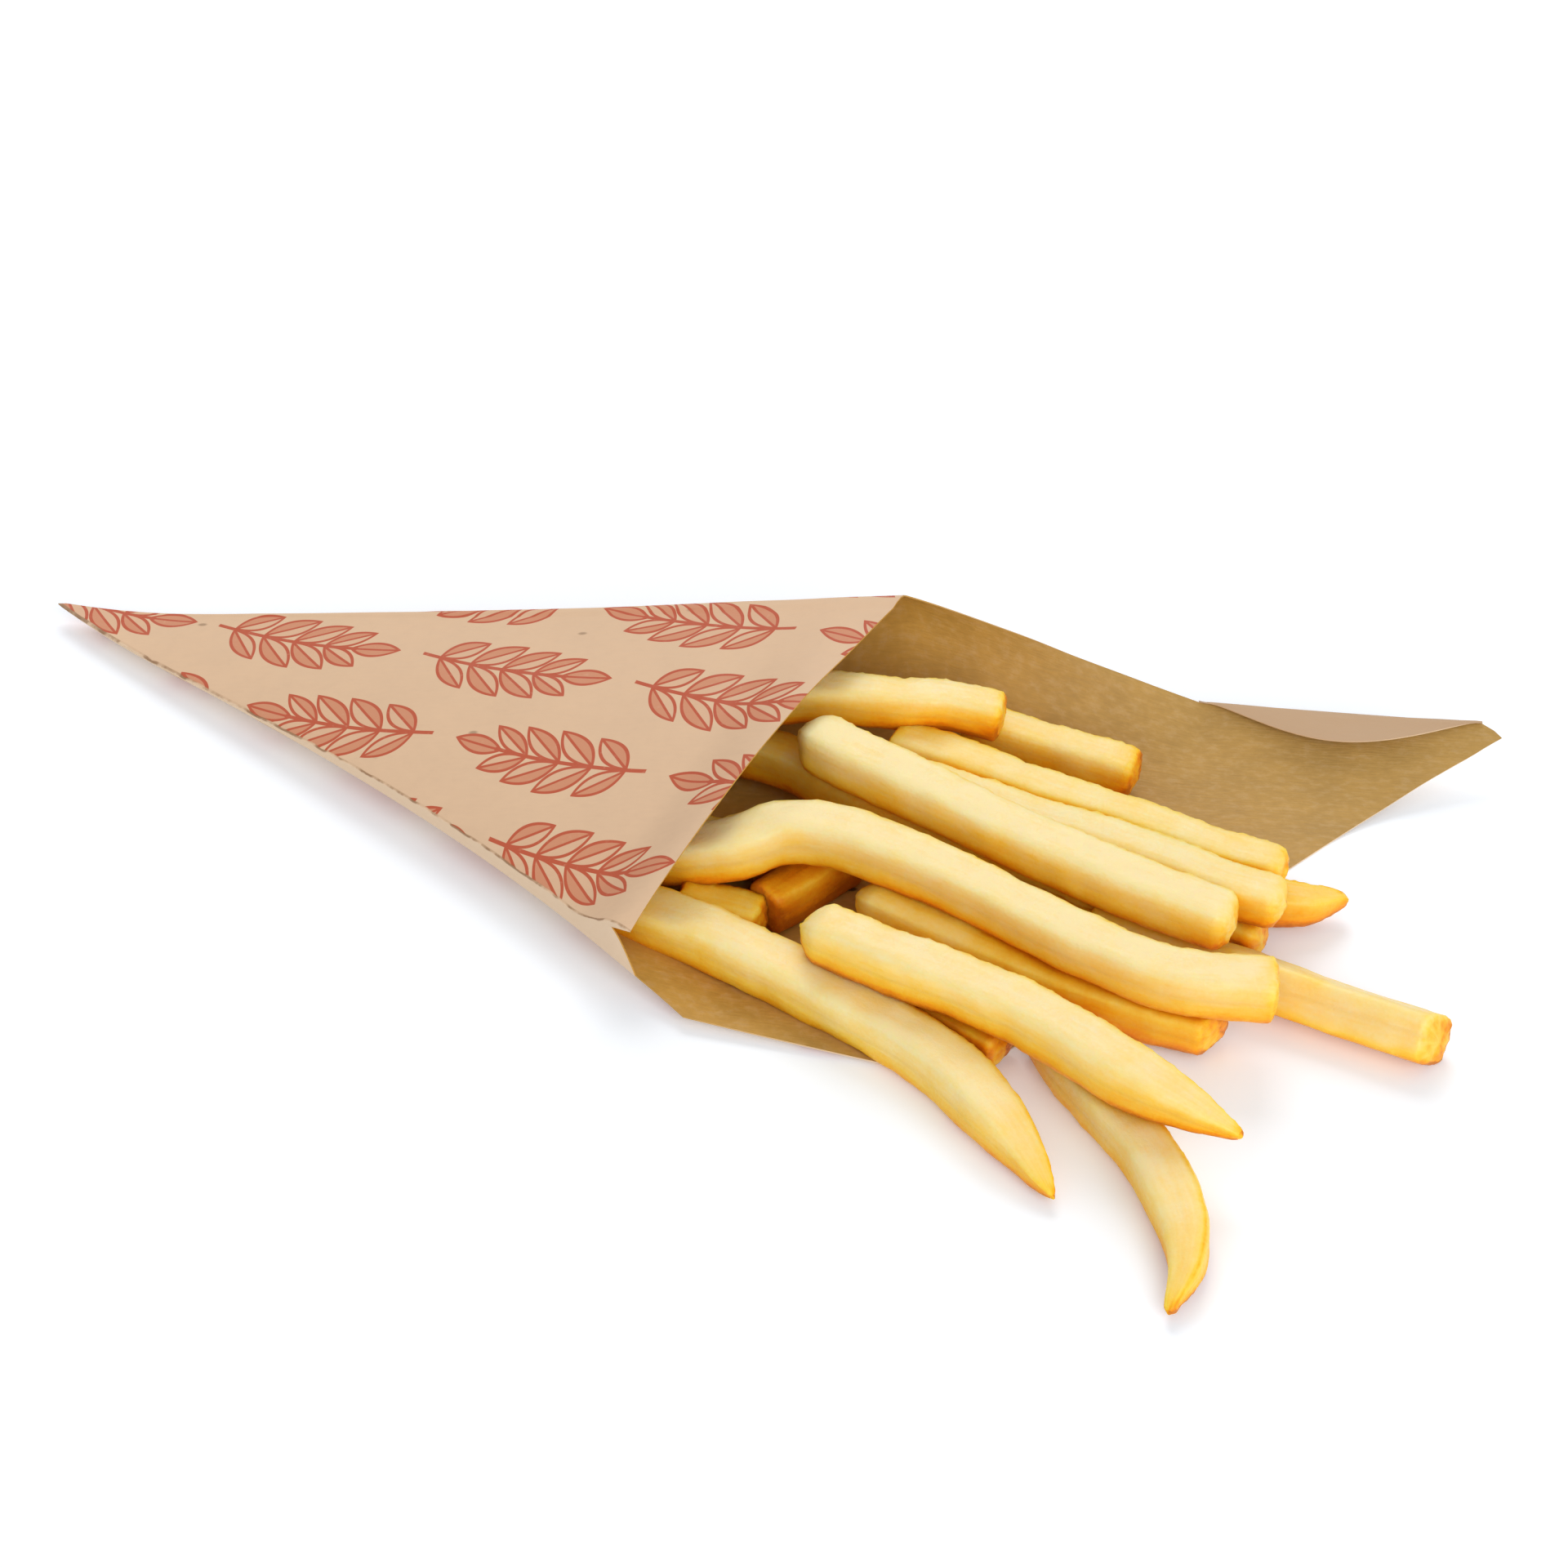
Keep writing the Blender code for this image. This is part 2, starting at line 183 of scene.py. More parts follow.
def column_point(column, radius):
    """The sheet's inner face along one of its columns, from the near edge round the bag."""
    if column < NEAR_FOLD:
        share = column / STRIP_STEPS
        low, high = floor_point(radius, 1.0), front_point(radius, 0.0)
        return low + (high - low) * share
    if column <= FAR_FOLD:
        return front_point(radius, (column - NEAR_FOLD) / FRONT_STEPS)
    if column <= WALL_FOOT:
        return wall_point(radius, (column - FAR_FOLD) / WALL_STEPS)
    return floor_point(radius, (column - WALL_FOOT) / FLOOR_STEPS)


def leaned(place):
    """A place moved down to the floor along the lean of the end cut."""
    return np.array((place[0], place[1] + CUT_LEAN * place[2]))


def cut_radius(column, start, end, lean=False):
    """Radius at which a column meets the straight cut from start to end."""
    along = np.subtract(end, start)
    offset = np.subtract(start, APEX)
    radius = MOUTH_FAR
    for _ in range(16):
        place = column_point(column, np.array(radius))
        ray = (leaned(place) if lean else place[:2]) - APEX
        radius *= (along[0] * offset[1] - along[1] * offset[0]) / (along[0] * ray[1] - along[1] * ray[0])
    return radius


def bearing_of(place):
    return math.degrees(math.atan2(place[1] - APEX[1], place[0] - APEX[0]))


mouth_line = (polar(MOUTH_NEAR, near_bearing(MOUTH_NEAR), 0.0)[:2], polar(MOUTH_FAR, FAR_BEARING, 0.0)[:2])
corner_line = (floor_point(np.array(NEAR_CORNER), 1.0)[:2], FLAP_CORNER)
mouth_radii, end_radii = [], []
for column in range(LAST_COLUMN + 1):
    mouth = cut_radius(column, *mouth_line)
    if column < NEAR_FOLD:
        mouth = STRIP_TOP + (STRIP_END - STRIP_TOP) * (1.0 - column / STRIP_STEPS) ** 0.75
    if column > WALL_FOOT:
        mouth += (STRIP_END - MOUTH_NEAR) * ((column - WALL_FOOT) / FLOOR_STEPS) ** 3
    end = cut_radius(min(column, LAST_COLUMN - 1), FLAP_CORNER, leaned(FLAP_TIP), lean=True)
    if column >= FAR_FOLD:
        end = min(end, cut_radius(column, leaned(FLAP_TIP), leaned(FOLD_TIP), lean=True))
    if bearing_of(column_point(column, np.array(end))) < bearing_of(FLAP_CORNER):
        end = cut_radius(column, *corner_line)
    mouth_radii.append(mouth)
    end_radii.append(NEAR_CORNER if column == LAST_COLUMN else end)
end_radii[:FAR_FOLD] = [end_radii[FAR_FOLD]] * FAR_FOLD

bpy.ops.object.select_all(action='DESELECT')
rows = BAG_ROWS + FLAP_ROWS
bpy.ops.mesh.primitive_grid_add(x_subdivisions=LAST_COLUMN, y_subdivisions=rows, size=2.0)
paper = bpy.context.object
paper.name = "kraft_paper_cone"
sheet = paper.data

# The flat blank is cut first: past the mouth the upper panel goes, all but the
# strip along the far fold that is turned in over the flap.
turn_row = BAG_ROWS + int(np.argmax([
    mouth_radii[FAR_FOLD] + (end_radii[FAR_FOLD] - mouth_radii[FAR_FOLD]) * step / FLAP_ROWS > TURN_START
    for step in range(FLAP_ROWS + 1)])) - 1
bpy.ops.object.mode_set(mode='EDIT')
bpy.ops.mesh.select_mode(type='FACE')
bpy.ops.mesh.select_all(action='DESELECT')
bpy.ops.object.mode_set(mode='OBJECT')
for face in sheet.polygons:
    face_column = (face.center.x + 1.0) / 2.0 * LAST_COLUMN
    face_row = (face.center.y + 1.0) / 2.0 * rows
    waste = face_row > BAG_ROWS and face_column < FAR_FOLD - TURN_STEPS
    waste = waste or (BAG_ROWS < face_row < turn_row and face_column < FAR_FOLD)
    face.select = waste
bpy.ops.object.mode_set(mode='EDIT')
bpy.ops.mesh.delete(type='FACE')
bpy.ops.object.mode_set(mode='OBJECT')

# Then it is folded: each point goes to its place on the cone. The flat place of
# each point is kept as the UV map, in metres, so that print and fibres follow it.
flat = np.empty(len(sheet.vertices) * 3)
sheet.vertices.foreach_get("co", flat)
flat = flat.reshape(-1, 3)
columns = np.rint((flat[:, 0] + 1.0) / 2.0 * LAST_COLUMN).astype(int)
steps = np.rint((flat[:, 1] + 1.0) / 2.0 * rows).astype(int)
reference = np.array([column_point(column, np.array(120.0)) for column in range(LAST_COLUMN + 1)])
spans = np.linalg.norm(np.diff(reference, axis=0), axis=1) / 120.0
flat_angle = np.concatenate(([0.0], np.cumsum(spans)))
flat_angle -= flat_angle[FAR_FOLD]
folded = np.zeros_like(flat)
unfolded = np.zeros((len(flat), 2))
for column in range(LAST_COLUMN + 1):
    here = columns == column
    step = steps[here]
    mouth, end = mouth_radii[column], end_radii[column]
    bag = mouth * np.minimum(step / BAG_ROWS, 1.0)
    radius = bag + (end - mouth) * np.maximum(0.0, (step - BAG_ROWS) / FLAP_ROWS)
    place = column_point(column, radius)
    if FAR_FOLD - TURN_STEPS <= column < FAR_FOLD:
        past = step > BAG_ROWS
        mouth, end = mouth_radii[FAR_FOLD], end_radii[FAR_FOLD]
        edge_radius = mouth + (end - mouth) * (step - BAG_ROWS) / FLAP_ROWS
        turned = turned_point(edge_radius, (FAR_FOLD - column) / TURN_STEPS)
        place = np.where(past[:, None], turned, place)
        radius = np.where(past, edge_radius, radius)
    folded[here] = place
    unfolded[here, 0] = radius * math.cos(flat_angle[column])
    unfolded[here, 1] = radius * math.sin(flat_angle[column])

# The far fold is rounded over a few millimetres, not creased.
folded_at = {(column, step): index for index, (column, step) in enumerate(zip(columns, steps))}
ridge = {}
for step in range(BAG_ROWS + 1):
    first, middle, last = (folded[folded_at[FAR_FOLD + offset, step]] for offset in (-FOLD_COLUMNS, 0, FOLD_COLUMNS))
    middle = middle + np.array((0.0, 0.0, FOLD_LIFT * step / BAG_ROWS))
    for offset in range(1 - FOLD_COLUMNS, FOLD_COLUMNS):
        share = (offset + FOLD_COLUMNS) / (2.0 * FOLD_COLUMNS)
        ridge[offset, step] = ((1.0 - share) ** 2 * first + 2.0 * share * (1.0 - share) * middle
                               + share ** 2 * last)
for offset in range(FOLD_COLUMNS):
    drop = ridge[offset, BAG_ROWS] - folded[folded_at[FAR_FOLD + offset, BAG_ROWS]]
    for step in range(BAG_ROWS + 1, rows + 1):
        folded[folded_at[FAR_FOLD + offset, step]] += drop * math.exp((BAG_ROWS - step) / 9.0)
for (offset, step), place in ridge.items():
    folded[folded_at[FAR_FOLD + offset, step]] = place

# Paper is never quite flat: it cockles a little, more where nothing holds it.
for index in range(len(folded)):
    x, y = unfolded[index]
    swell = noise.noise(Vector((x / 38.0, y / 26.0, 1.7))) + 0.4 * noise.noise(Vector((x / 13.0, y / 11.0, 5.1)))
    column, step = columns[index], steps[index]
    reach = min(1.0, step / BAG_ROWS)
    if column <= FAR_FOLD:
        folded[index, 2] += 0.45 * swell * reach * min(1.0, column / (NEAR_FOLD + 6.0))
    else:
        depth = min(1.0, folded[index, 2] / 4.0)
        folded[index, 2] += 0.5 * abs(swell) * depth
folded[:, 2] += SHEET
sheet.vertices.foreach_set("co", (folded * MM).ravel())
flat_place = sheet.uv_layers.active
flat_place.name = "flat_sheet"
loop_points = np.empty(len(sheet.loops), dtype=int)
sheet.loops.foreach_get("vertex_index", loop_points)
flat_place.data.foreach_set("uv", (unfolded[loop_points] * MM).ravel())
sheet.update()
bpy.ops.object.mode_set(mode='EDIT')
bpy.ops.mesh.select_all(action='SELECT')
bpy.ops.mesh.remove_doubles(threshold=0.00001)
bpy.ops.mesh.select_all(action='DESELECT')
bpy.ops.object.mode_set(mode='OBJECT')


def add_node(tree, kind, values=None, **settings):
    """Adds a node, sets its properties, and fills or links its inputs."""
    made = tree.nodes.new(kind)
    for name, setting in settings.items():
        setattr(made, name, setting)
    for socket, value in (values or {}).items():
        if isinstance(value, bpy.types.NodeSocket):
            tree.links.new(value, made.inputs[socket])
        else:
            made.inputs[socket].default_value = value
    return made


def calculate(tree, operation, *values):
    """One Math node, with its result."""
    return add_node(tree, 'ShaderNodeMath', dict(enumerate(values)), operation=operation).outputs[0]


def ease(tree, value, low, high, start=0.0, end=1.0):
    """A smooth step of a value from low to high."""
    return add_node(tree, 'ShaderNodeMapRange', {0: value, 1: low, 2: high, 3: start, 4: end},
                    interpolation_type='SMOOTHSTEP').outputs[0]


def blend_colours(tree, share, first, second, mode='MIX'):
    mix = add_node(tree, 'ShaderNodeMix', data_type='RGBA', blend_type=mode)
    for socket, value in ((mix.inputs[0], share), (mix.inputs[6], first), (mix.inputs[7], second)):
        if isinstance(value, bpy.types.NodeSocket):
            tree.links.new(value, socket)
        else:
            socket.default_value = value
    return mix.outputs[2]


def new_group(name, inputs, outputs):
    """A node group with named sockets; gives its tree, its inputs node and its outputs node."""
    group = bpy.data.node_groups.new(name, 'ShaderNodeTree')
    for label, kind in inputs.items():
        group.interface.new_socket(label, in_out='INPUT', socket_type=kind)
    for label, kind in outputs.items():
        group.interface.new_socket(label, in_out='OUTPUT', socket_type=kind)
    return group, group.nodes.new('NodeGroupInput'), group.nodes.new('NodeGroupOutput')


def new_material(name):
    made = bpy.data.materials.new(name)
    made.use_nodes = True
    return made, made.node_tree, made.node_tree.nodes["Principled BSDF"]


FLOAT, COLOUR, VECTOR = 'NodeSocketFloat', 'NodeSocketColor', 'NodeSocketVector'

# The grain of kraft paper: soft clouds, long fibres and a few dark flecks of bark.
fibre, fibre_in, fibre_out = new_group(
    "kraft_fibre", {"Flat Place": VECTOR, "Colour": COLOUR, "Cloudiness": FLOAT, "Flecks": FLOAT},
    {"Colour": COLOUR, "Height": FLOAT})
sheet_place = fibre_in.outputs["Flat Place"]
clouds = add_node(fibre, 'ShaderNodeTexNoise', {"Vector": sheet_place, "Scale": 95.0, "Detail": 4.0})
stretch = add_node(fibre, 'ShaderNodeMapping', {"Vector": sheet_place, "Scale": (0.22, 1.0, 1.0)})
threads = add_node(fibre, 'ShaderNodeTexNoise', {"Vector": stretch.outputs[0], "Scale": 1500.0, "Detail": 3.0})
fleck_place = add_node(fibre, 'ShaderNodeMapping', {"Vector": sheet_place, "Scale": (0.55, 1.0, 1.0),
                                                    "Rotation": (0.0, 0.0, 0.5)})
specks = add_node(fibre, 'ShaderNodeTexVoronoi', {"Vector": fleck_place.outputs[0], "Scale": 190.0})
speck = calculate(fibre, 'SUBTRACT', 1.0, ease(fibre, specks.outputs["Distance"], 0.05, 0.12))
pick = add_node(fibre, 'ShaderNodeSeparateColor', {0: specks.outputs["Color"]})
speck = calculate(fibre, 'MULTIPLY', speck, ease(fibre, pick.outputs[0], 0.80, 0.86))
speck = calculate(fibre, 'MULTIPLY', speck, fibre_in.outputs["Flecks"])
blotches = add_node(fibre, 'ShaderNodeTexNoise', {"Vector": sheet_place, "Scale": 430.0, "Detail": 3.0,
                                                  "Roughness": 0.6})
mottle = calculate(fibre, 'ADD', calculate(fibre, 'MULTIPLY_ADD', clouds.outputs[0], 0.9, -0.45),
                   calculate(fibre, 'MULTIPLY_ADD', blotches.outputs[0], 0.8, -0.40))
grain = calculate(fibre, 'MULTIPLY_ADD', threads.outputs[0], 0.6, -0.3)
tint = calculate(fibre, 'MULTIPLY', calculate(fibre, 'ADD', mottle, grain), fibre_in.outputs["Cloudiness"])
tint = calculate(fibre, 'ADD', 1.0, tint)
shade = add_node(fibre, 'ShaderNodeCombineColor', {0: tint, 1: tint, 2: tint})
toned = blend_colours(fibre, 1.0, fibre_in.outputs["Colour"], shade.outputs[0], 'MULTIPLY')
faded = calculate(fibre, 'MULTIPLY', ease(fibre, blotches.outputs[0], 0.46, 0.72),
                  calculate(fibre, 'MULTIPLY', fibre_in.outputs["Cloudiness"], 0.45))
toned = blend_colours(fibre, faded, toned, (0.56, 0.42, 0.26, 1.0))
flecked = blend_colours(fibre, speck, toned, (0.13, 0.055, 0.015, 1.0))
fibre.links.new(flecked, fibre_out.inputs["Colour"])
fibre.links.new(calculate(fibre, 'MULTIPLY_ADD', clouds.outputs[0], 0.5, threads.outputs[0]),
                fibre_out.inputs["Height"])

# One leaf of the printed sprig: its outline and midrib, and its shaded half.
leaf, leaf_in, leaf_out = new_group(
    "sprig_leaf", {"Place": VECTOR, "Foot": FLOAT, "Lean": FLOAT, "Length": FLOAT, "Width": FLOAT},
    {"Line": FLOAT, "Fill": FLOAT})
moved = add_node(leaf, 'ShaderNodeSeparateXYZ', {0: leaf_in.outputs["Place"]})
side = calculate(leaf, 'SUBTRACT', moved.outputs[0], leaf_in.outputs["Foot"])
cosine = calculate(leaf, 'COSINE', leaf_in.outputs["Lean"])
sine = calculate(leaf, 'SINE', leaf_in.outputs["Lean"])
along = calculate(leaf, 'ADD', calculate(leaf, 'MULTIPLY', side, cosine),
                  calculate(leaf, 'MULTIPLY', moved.outputs[1], sine))
across = calculate(leaf, 'SUBTRACT', calculate(leaf, 'MULTIPLY', moved.outputs[1], cosine),
                   calculate(leaf, 'MULTIPLY', side, sine))
reach = calculate(leaf, 'DIVIDE', along, leaf_in.outputs["Length"])
swell = calculate(leaf, 'MULTIPLY', calculate(leaf, 'MULTIPLY', reach, 4.0), calculate(leaf, 'SUBTRACT', 1.0, reach))
half = calculate(leaf, 'MULTIPLY', calculate(leaf, 'MULTIPLY', swell, 0.5), leaf_in.outputs["Width"])
inset = calculate(leaf, 'SUBTRACT', half, calculate(leaf, 'ABSOLUTE', across))
inside = ease(leaf, inset, -0.00004, 0.00004)
rim = calculate(leaf, 'SUBTRACT', inside, ease(leaf, inset, 0.00056, 0.00066))
rib = calculate(leaf, 'SUBTRACT', 1.0, ease(leaf, calculate(leaf, 'ABSOLUTE', across), 0.00020, 0.00030))
line = calculate(leaf, 'MAXIMUM', rim, calculate(leaf, 'MULTIPLY', rib, inside))
leaf.links.new(line, leaf_out.inputs["Line"])
leaf.links.new(calculate(leaf, 'MULTIPLY', inside, ease(leaf, across, -0.00005, 0.00005, 0.25, 1.0)),
               leaf_out.inputs["Fill"])

# The print: rows of leaf sprigs, every other row turned round, in two terracotta inks.
SPRIG_PITCH = 0.041
ROW_PITCH = 0.0192
sprigs, sprigs_in, sprigs_out = new_group(
    "leaf_sprigs", {"Flat Place": VECTOR}, {"Line": FLOAT, "Fill": FLOAT})
turned = add_node(sprigs, 'ShaderNodeMapping', {"Vector": sprigs_in.outputs["Flat Place"],
                                                "Location": (0.012, 0.0065, 0.0),
                                                "Rotation": (0.0, 0.0, math.radians(14))})
split = add_node(sprigs, 'ShaderNodeSeparateXYZ', {0: turned.outputs[0]})
row = calculate(sprigs, 'FLOOR', calculate(sprigs, 'DIVIDE', split.outputs[1], ROW_PITCH))
odd = calculate(sprigs, 'PINGPONG', row, 1.0)
facing = calculate(sprigs, 'MULTIPLY_ADD', odd, -2.0, 1.0)
shifted = calculate(sprigs, 'MULTIPLY_ADD', row, SPRIG_PITCH * 0.37, split.outputs[0])
cell = calculate(sprigs, 'MODULO', calculate(sprigs, 'ADD', shifted, SPRIG_PITCH * 40), SPRIG_PITCH)
cell_x = calculate(sprigs, 'MULTIPLY', calculate(sprigs, 'SUBTRACT', cell, SPRIG_PITCH / 2), facing)
cell_y = calculate(sprigs, 'SUBTRACT', split.outputs[1],
                   calculate(sprigs, 'MULTIPLY', calculate(sprigs, 'ADD', row, 0.5), ROW_PITCH))
bow = calculate(sprigs, 'MULTIPLY', calculate(sprigs, 'MULTIPLY', cell_x, cell_x), 5.0)
stem_y = calculate(sprigs, 'SUBTRACT', cell_y, calculate(sprigs, 'SUBTRACT', bow, 0.001))
mirrored = calculate(sprigs, 'ABSOLUTE', stem_y)
sprig_place = add_node(sprigs, 'ShaderNodeCombineXYZ', {0: cell_x, 1: mirrored})
stem = calculate(sprigs, 'SUBTRACT', 1.0, ease(sprigs, mirrored, 0.00036, 0.00046))
stem = calculate(sprigs, 'MULTIPLY', stem, ease(sprigs, cell_x, -0.0185, -0.0183))
line = calculate(sprigs, 'MULTIPLY', stem, calculate(sprigs, 'SUBTRACT', 1.0, ease(sprigs, cell_x, 0.0100, 0.0102)))
fill = None
for foot, lean, length, width in ((-0.0150, 0.72, 0.0100, 0.0046), (-0.0088, 0.68, 0.0112, 0.0050),
                                  (-0.0026, 0.62, 0.0110, 0.0048), (0.0036, 0.56, 0.0096, 0.0042),
                                  (0.0086, 0.0, 0.0096, 0.0044)):
    one = add_node(sprigs, 'ShaderNodeGroup', node_tree=leaf)
    sprigs.links.new(sprig_place.outputs[0], one.inputs["Place"])
    for label, value in (("Foot", foot), ("Lean", lean), ("Length", length), ("Width", width)):
        one.inputs[label].default_value = value
    line = calculate(sprigs, 'MAXIMUM', line, one.outputs["Line"])
    fill = one.outputs["Fill"] if fill is None else calculate(sprigs, 'MAXIMUM', fill, one.outputs["Fill"])
sprigs.links.new(line, sprigs_out.inputs["Line"])
sprigs.links.new(fill, sprigs_out.inputs["Fill"])

PAPER_OUTSIDE = (0.715, 0.486, 0.308, 1.0)
PAPER_INSIDE = (0.468, 0.277, 0.074, 1.0)
# The inner face inside the bag is painted darker and warmer: painted shade and painted bounce light.
PAPER_BAG_SHADE = (0.54, 0.290, 0.052, 1.0)
STRIP_COLOUR = (0.77, 0.565, 0.380, 1.0)
TURNED_EDGE_SHADE = (0.45, 0.292, 0.168, 1.0)
DARK_INK = (0.50, 0.090, 0.036, 1.0)
LIGHT_INK = (0.60, 0.22, 0.11, 1.0)
FOLD_ANGLE = flat_angle[NEAR_FOLD]


def kraft_material(name, colour, cloudiness, flecks, bump, printed):
    made, tree, shader = new_material(name)
    place = add_node(tree, 'ShaderNodeUVMap', uv_map="flat_sheet").outputs[0]
    paper_grain = add_node(tree, 'ShaderNodeGroup', node_tree=fibre)
    tree.links.new(place, paper_grain.inputs["Flat Place"])
    reach = add_node(tree, 'ShaderNodeVectorMath', {0: place}, operation='LENGTH').outputs["Value"]
    paper_grain.inputs["Colour"].default_value = colour
    if not printed:
        # Inside the bag, out to the mouth, the inner face is painted a deeper warm brown: painted shade and painted
        # warm light bounced from the fries.
        bag_shaded = blend_colours(tree, ease(tree, reach, 0.150, 0.190), PAPER_BAG_SHADE, colour)
        tree.links.new(bag_shaded, paper_grain.inputs["Colour"])
    paper_grain.inputs["Cloudiness"].default_value = cloudiness
    paper_grain.inputs["Flecks"].default_value = flecks
    surface = paper_grain.outputs["Colour"]
    if printed:
        print_marks = add_node(tree, 'ShaderNodeGroup', node_tree=sprigs)
        tree.links.new(place, print_marks.inputs["Flat Place"])
        on_sheet = add_node(tree, 'ShaderNodeSeparateXYZ', {0: place})
        from_fold = calculate(tree, 'SUBTRACT',
                              calculate(tree, 'MULTIPLY', on_sheet.outputs[1], math.cos(FOLD_ANGLE)),
                              calculate(tree, 'MULTIPLY', on_sheet.outputs[0], math.sin(FOLD_ANGLE)))
        wear = add_node(tree, 'ShaderNodeTexNoise', {"Vector": place, "Scale": 260.0, "Detail": 3.0})
        edge = calculate(tree, 'MULTIPLY_ADD', wear.outputs[0], 0.0009, from_fold)
        strip = calculate(tree, 'SUBTRACT', 1.0, ease(tree, edge, 0.0003, 0.0006))
        surface = blend_colours(tree, strip, surface, STRIP_COLOUR)
        cover = calculate(tree, 'MULTIPLY', ease(tree, edge, 0.0006, 0.0008),
                          calculate(tree, 'SUBTRACT', 1.0, ease(tree, reach, 0.196, 0.197)))
        # The turned-in strip along the far edge is painted darker: painted shade.
        shaded = calculate(tree, 'MULTIPLY', ease(tree, reach, 0.196, 0.197), 0.75)
        surface = blend_colours(tree, shaded, surface, TURNED_EDGE_SHADE)
        worn = add_node(tree, 'ShaderNodeTexNoise', {"Vector": place, "Scale": 900.0, "Detail": 2.0})
        ink = calculate(tree, 'MULTIPLY', cover, ease(tree, worn.outputs[0], 0.22, 0.40, 0.80, 1.0))
        pale = calculate(tree, 'MULTIPLY', print_marks.outputs["Fill"], calculate(tree, 'MULTIPLY', ink, 0.85))
        surface = blend_colours(tree, pale, surface, LIGHT_INK)
        surface = blend_colours(tree, calculate(tree, 'MULTIPLY', print_marks.outputs["Line"], ink), surface, DARK_INK)
        # A broken dark line along the near fold: painted shade in the crease.
        crease_shade = calculate(tree, 'SUBTRACT', 1.0, ease(tree, calculate(tree, 'ABSOLUTE', calculate(
            tree, 'SUBTRACT', edge, 0.0006)), 0.00008, 0.00026))
        crease_shade = calculate(tree, 'MULTIPLY', crease_shade, ease(tree, wear.outputs[0], 0.40, 0.58, 0.10, 0.75))
        surface = blend_colours(tree, crease_shade, surface, (0.22, 0.095, 0.03, 1.0))
    tree.links.new(surface, shader.inputs["Base Color"])
    height = add_node(tree, 'ShaderNodeBump', {"Height": paper_grain.outputs["Height"], "Distance": bump,
                                               "Strength": 0.6})
    tree.links.new(height.outputs[0], shader.inputs["Normal"])
    tree.links.new(ease(tree, paper_grain.outputs["Height"], 0.4, 1.1, 0.55, 0.72), shader.inputs["Roughness"])
    shader.inputs["Specular IOR Level"].default_value = 0.35
    sheet.materials.append(made)


sheet.materials.clear()
kraft_material("kraft_inside", PAPER_INSIDE, 0.42, 1.0, 0.00014, False)
kraft_material("kraft_outside", PAPER_OUTSIDE, 0.12, 0.5, 0.00006, True)
kraft_material("kraft_cut_edge", (0.74, 0.55, 0.36, 1.0), 0.1, 0.0, 0.00005, False)
# The sheet gets its thickness: outside and cut edge take the next two finishes.
wall = paper.modifiers.new("paper_wall", 'SOLIDIFY')
wall.thickness = SHEET * MM
wall.offset = -1.0
wall.material_offset = 1
wall.material_offset_rim = 2
bpy.ops.object.modifier_apply(modifier=wall.name)
bpy.ops.object.shade_smooth_by_angle(angle=math.radians(40))
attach(paper, "root")
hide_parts("paper_cone")

# ---------------------------------------------------------------------------
# The fries
# Thick-cut potato sticks, fried pale gold with crisp edges and browner ends.
# One squared stick is modelled, and each fry is a copy of it drawn along its own
# line, so every one has its own bend, size, ends and lumps.
# ---------------------------------------------------------------------------
STICK_RINGS = 150
SQUARENESS = 3.8            # 2 would give a round section, and a high number a sharp square
STICK_CUTS = 11
END_RINGS = (0.0, 0.1, 0.28, 0.52, 0.85, 1.25, 1.75, 2.4, 3.1)

bpy.ops.object.select_all(action='DESELECT')
bpy.ops.mesh.primitive_cube_add(size=1.0)
stick = bpy.context.object
stick.name = "potato_stick"
for axis, cuts in ((0, STICK_RINGS - 1), (1, STICK_CUTS), (2, STICK_CUTS)):
    bpy.ops.object.mode_set(mode='EDIT')
    bpy.ops.mesh.select_mode(type='EDGE')
    bpy.ops.mesh.select_all(action='DESELECT')
    bpy.ops.object.mode_set(mode='OBJECT')
    points = stick.data.vertices
    for edge in stick.data.edges:
        first, second = (points[index].co for index in edge.vertices)
        edge.select = abs(first[axis] - second[axis]) > 0.9
    bpy.ops.object.mode_set(mode='EDIT')
    bpy.ops.mesh.subdivide(number_cuts=cuts)
    bpy.ops.mesh.select_all(action='DESELECT')
    bpy.ops.object.mode_set(mode='OBJECT')
stick_points = np.empty(len(stick.data.vertices) * 3)
stick.data.vertices.foreach_get("co", stick_points)
stick_points = stick_points.reshape(-1, 3) * 2.0


def curve_through(points):
    """A smooth line through points: its places, directions and lengths so far."""
    points = np.array(points, float)
    points = np.vstack([points[0] * 2 - points[1], points, points[-1] * 2 - points[-2]])
    places = []
    for a, b, c, d in zip(points, points[1:], points[2:], points[3:]):
        for t in np.arange(0.0, 1.0, 0.025):
            places.append((b * 2 + (c - a) * t + (a * 2 - b * 5 + c * 4 - d) * t ** 2
                           + (b * 3 - a - c * 3 + d) * t ** 3) / 2)
    places.append(points[-2])
    places = np.array(places)
    lengths = np.concatenate(([0.0], np.cumsum(np.linalg.norm(np.diff(places, axis=0), axis=1))))
    slopes = np.gradient(places, lengths, axis=0)
    return places, slopes / np.linalg.norm(slopes, axis=1, keepdims=True), lengths


def end_scale(distance, half, rounding, taper, left):
    """How much of the section is left at a distance from an end."""
    distance = np.maximum(distance, 0.0)
    rim = 1.0 - rounding / half * (1.0 - np.sqrt(1.0 - (1.0 - np.minimum(distance / rounding, 1.0)) ** 2))
    if not taper:
        return rim
    slim = left + (1.0 - left) * np.sin(math.pi / 2.0 * np.minimum(distance / taper, 1.0)) ** 0.8
    return rim * slim


CUT_END = dict(rounding=1.2, taper=0.0, left=1.0, slant=0.0, brown=0.18)
SOFT_END = dict(rounding=2.4, taper=0.0, left=1.0, slant=0.0, brown=0.10)
ROUND_END = dict(rounding=3.6, taper=5.0, left=0.5, slant=0.0, brown=0.12)
POINTED_END = dict(rounding=0.6, taper=24.0, left=0.10, slant=0.0, brown=0.22)


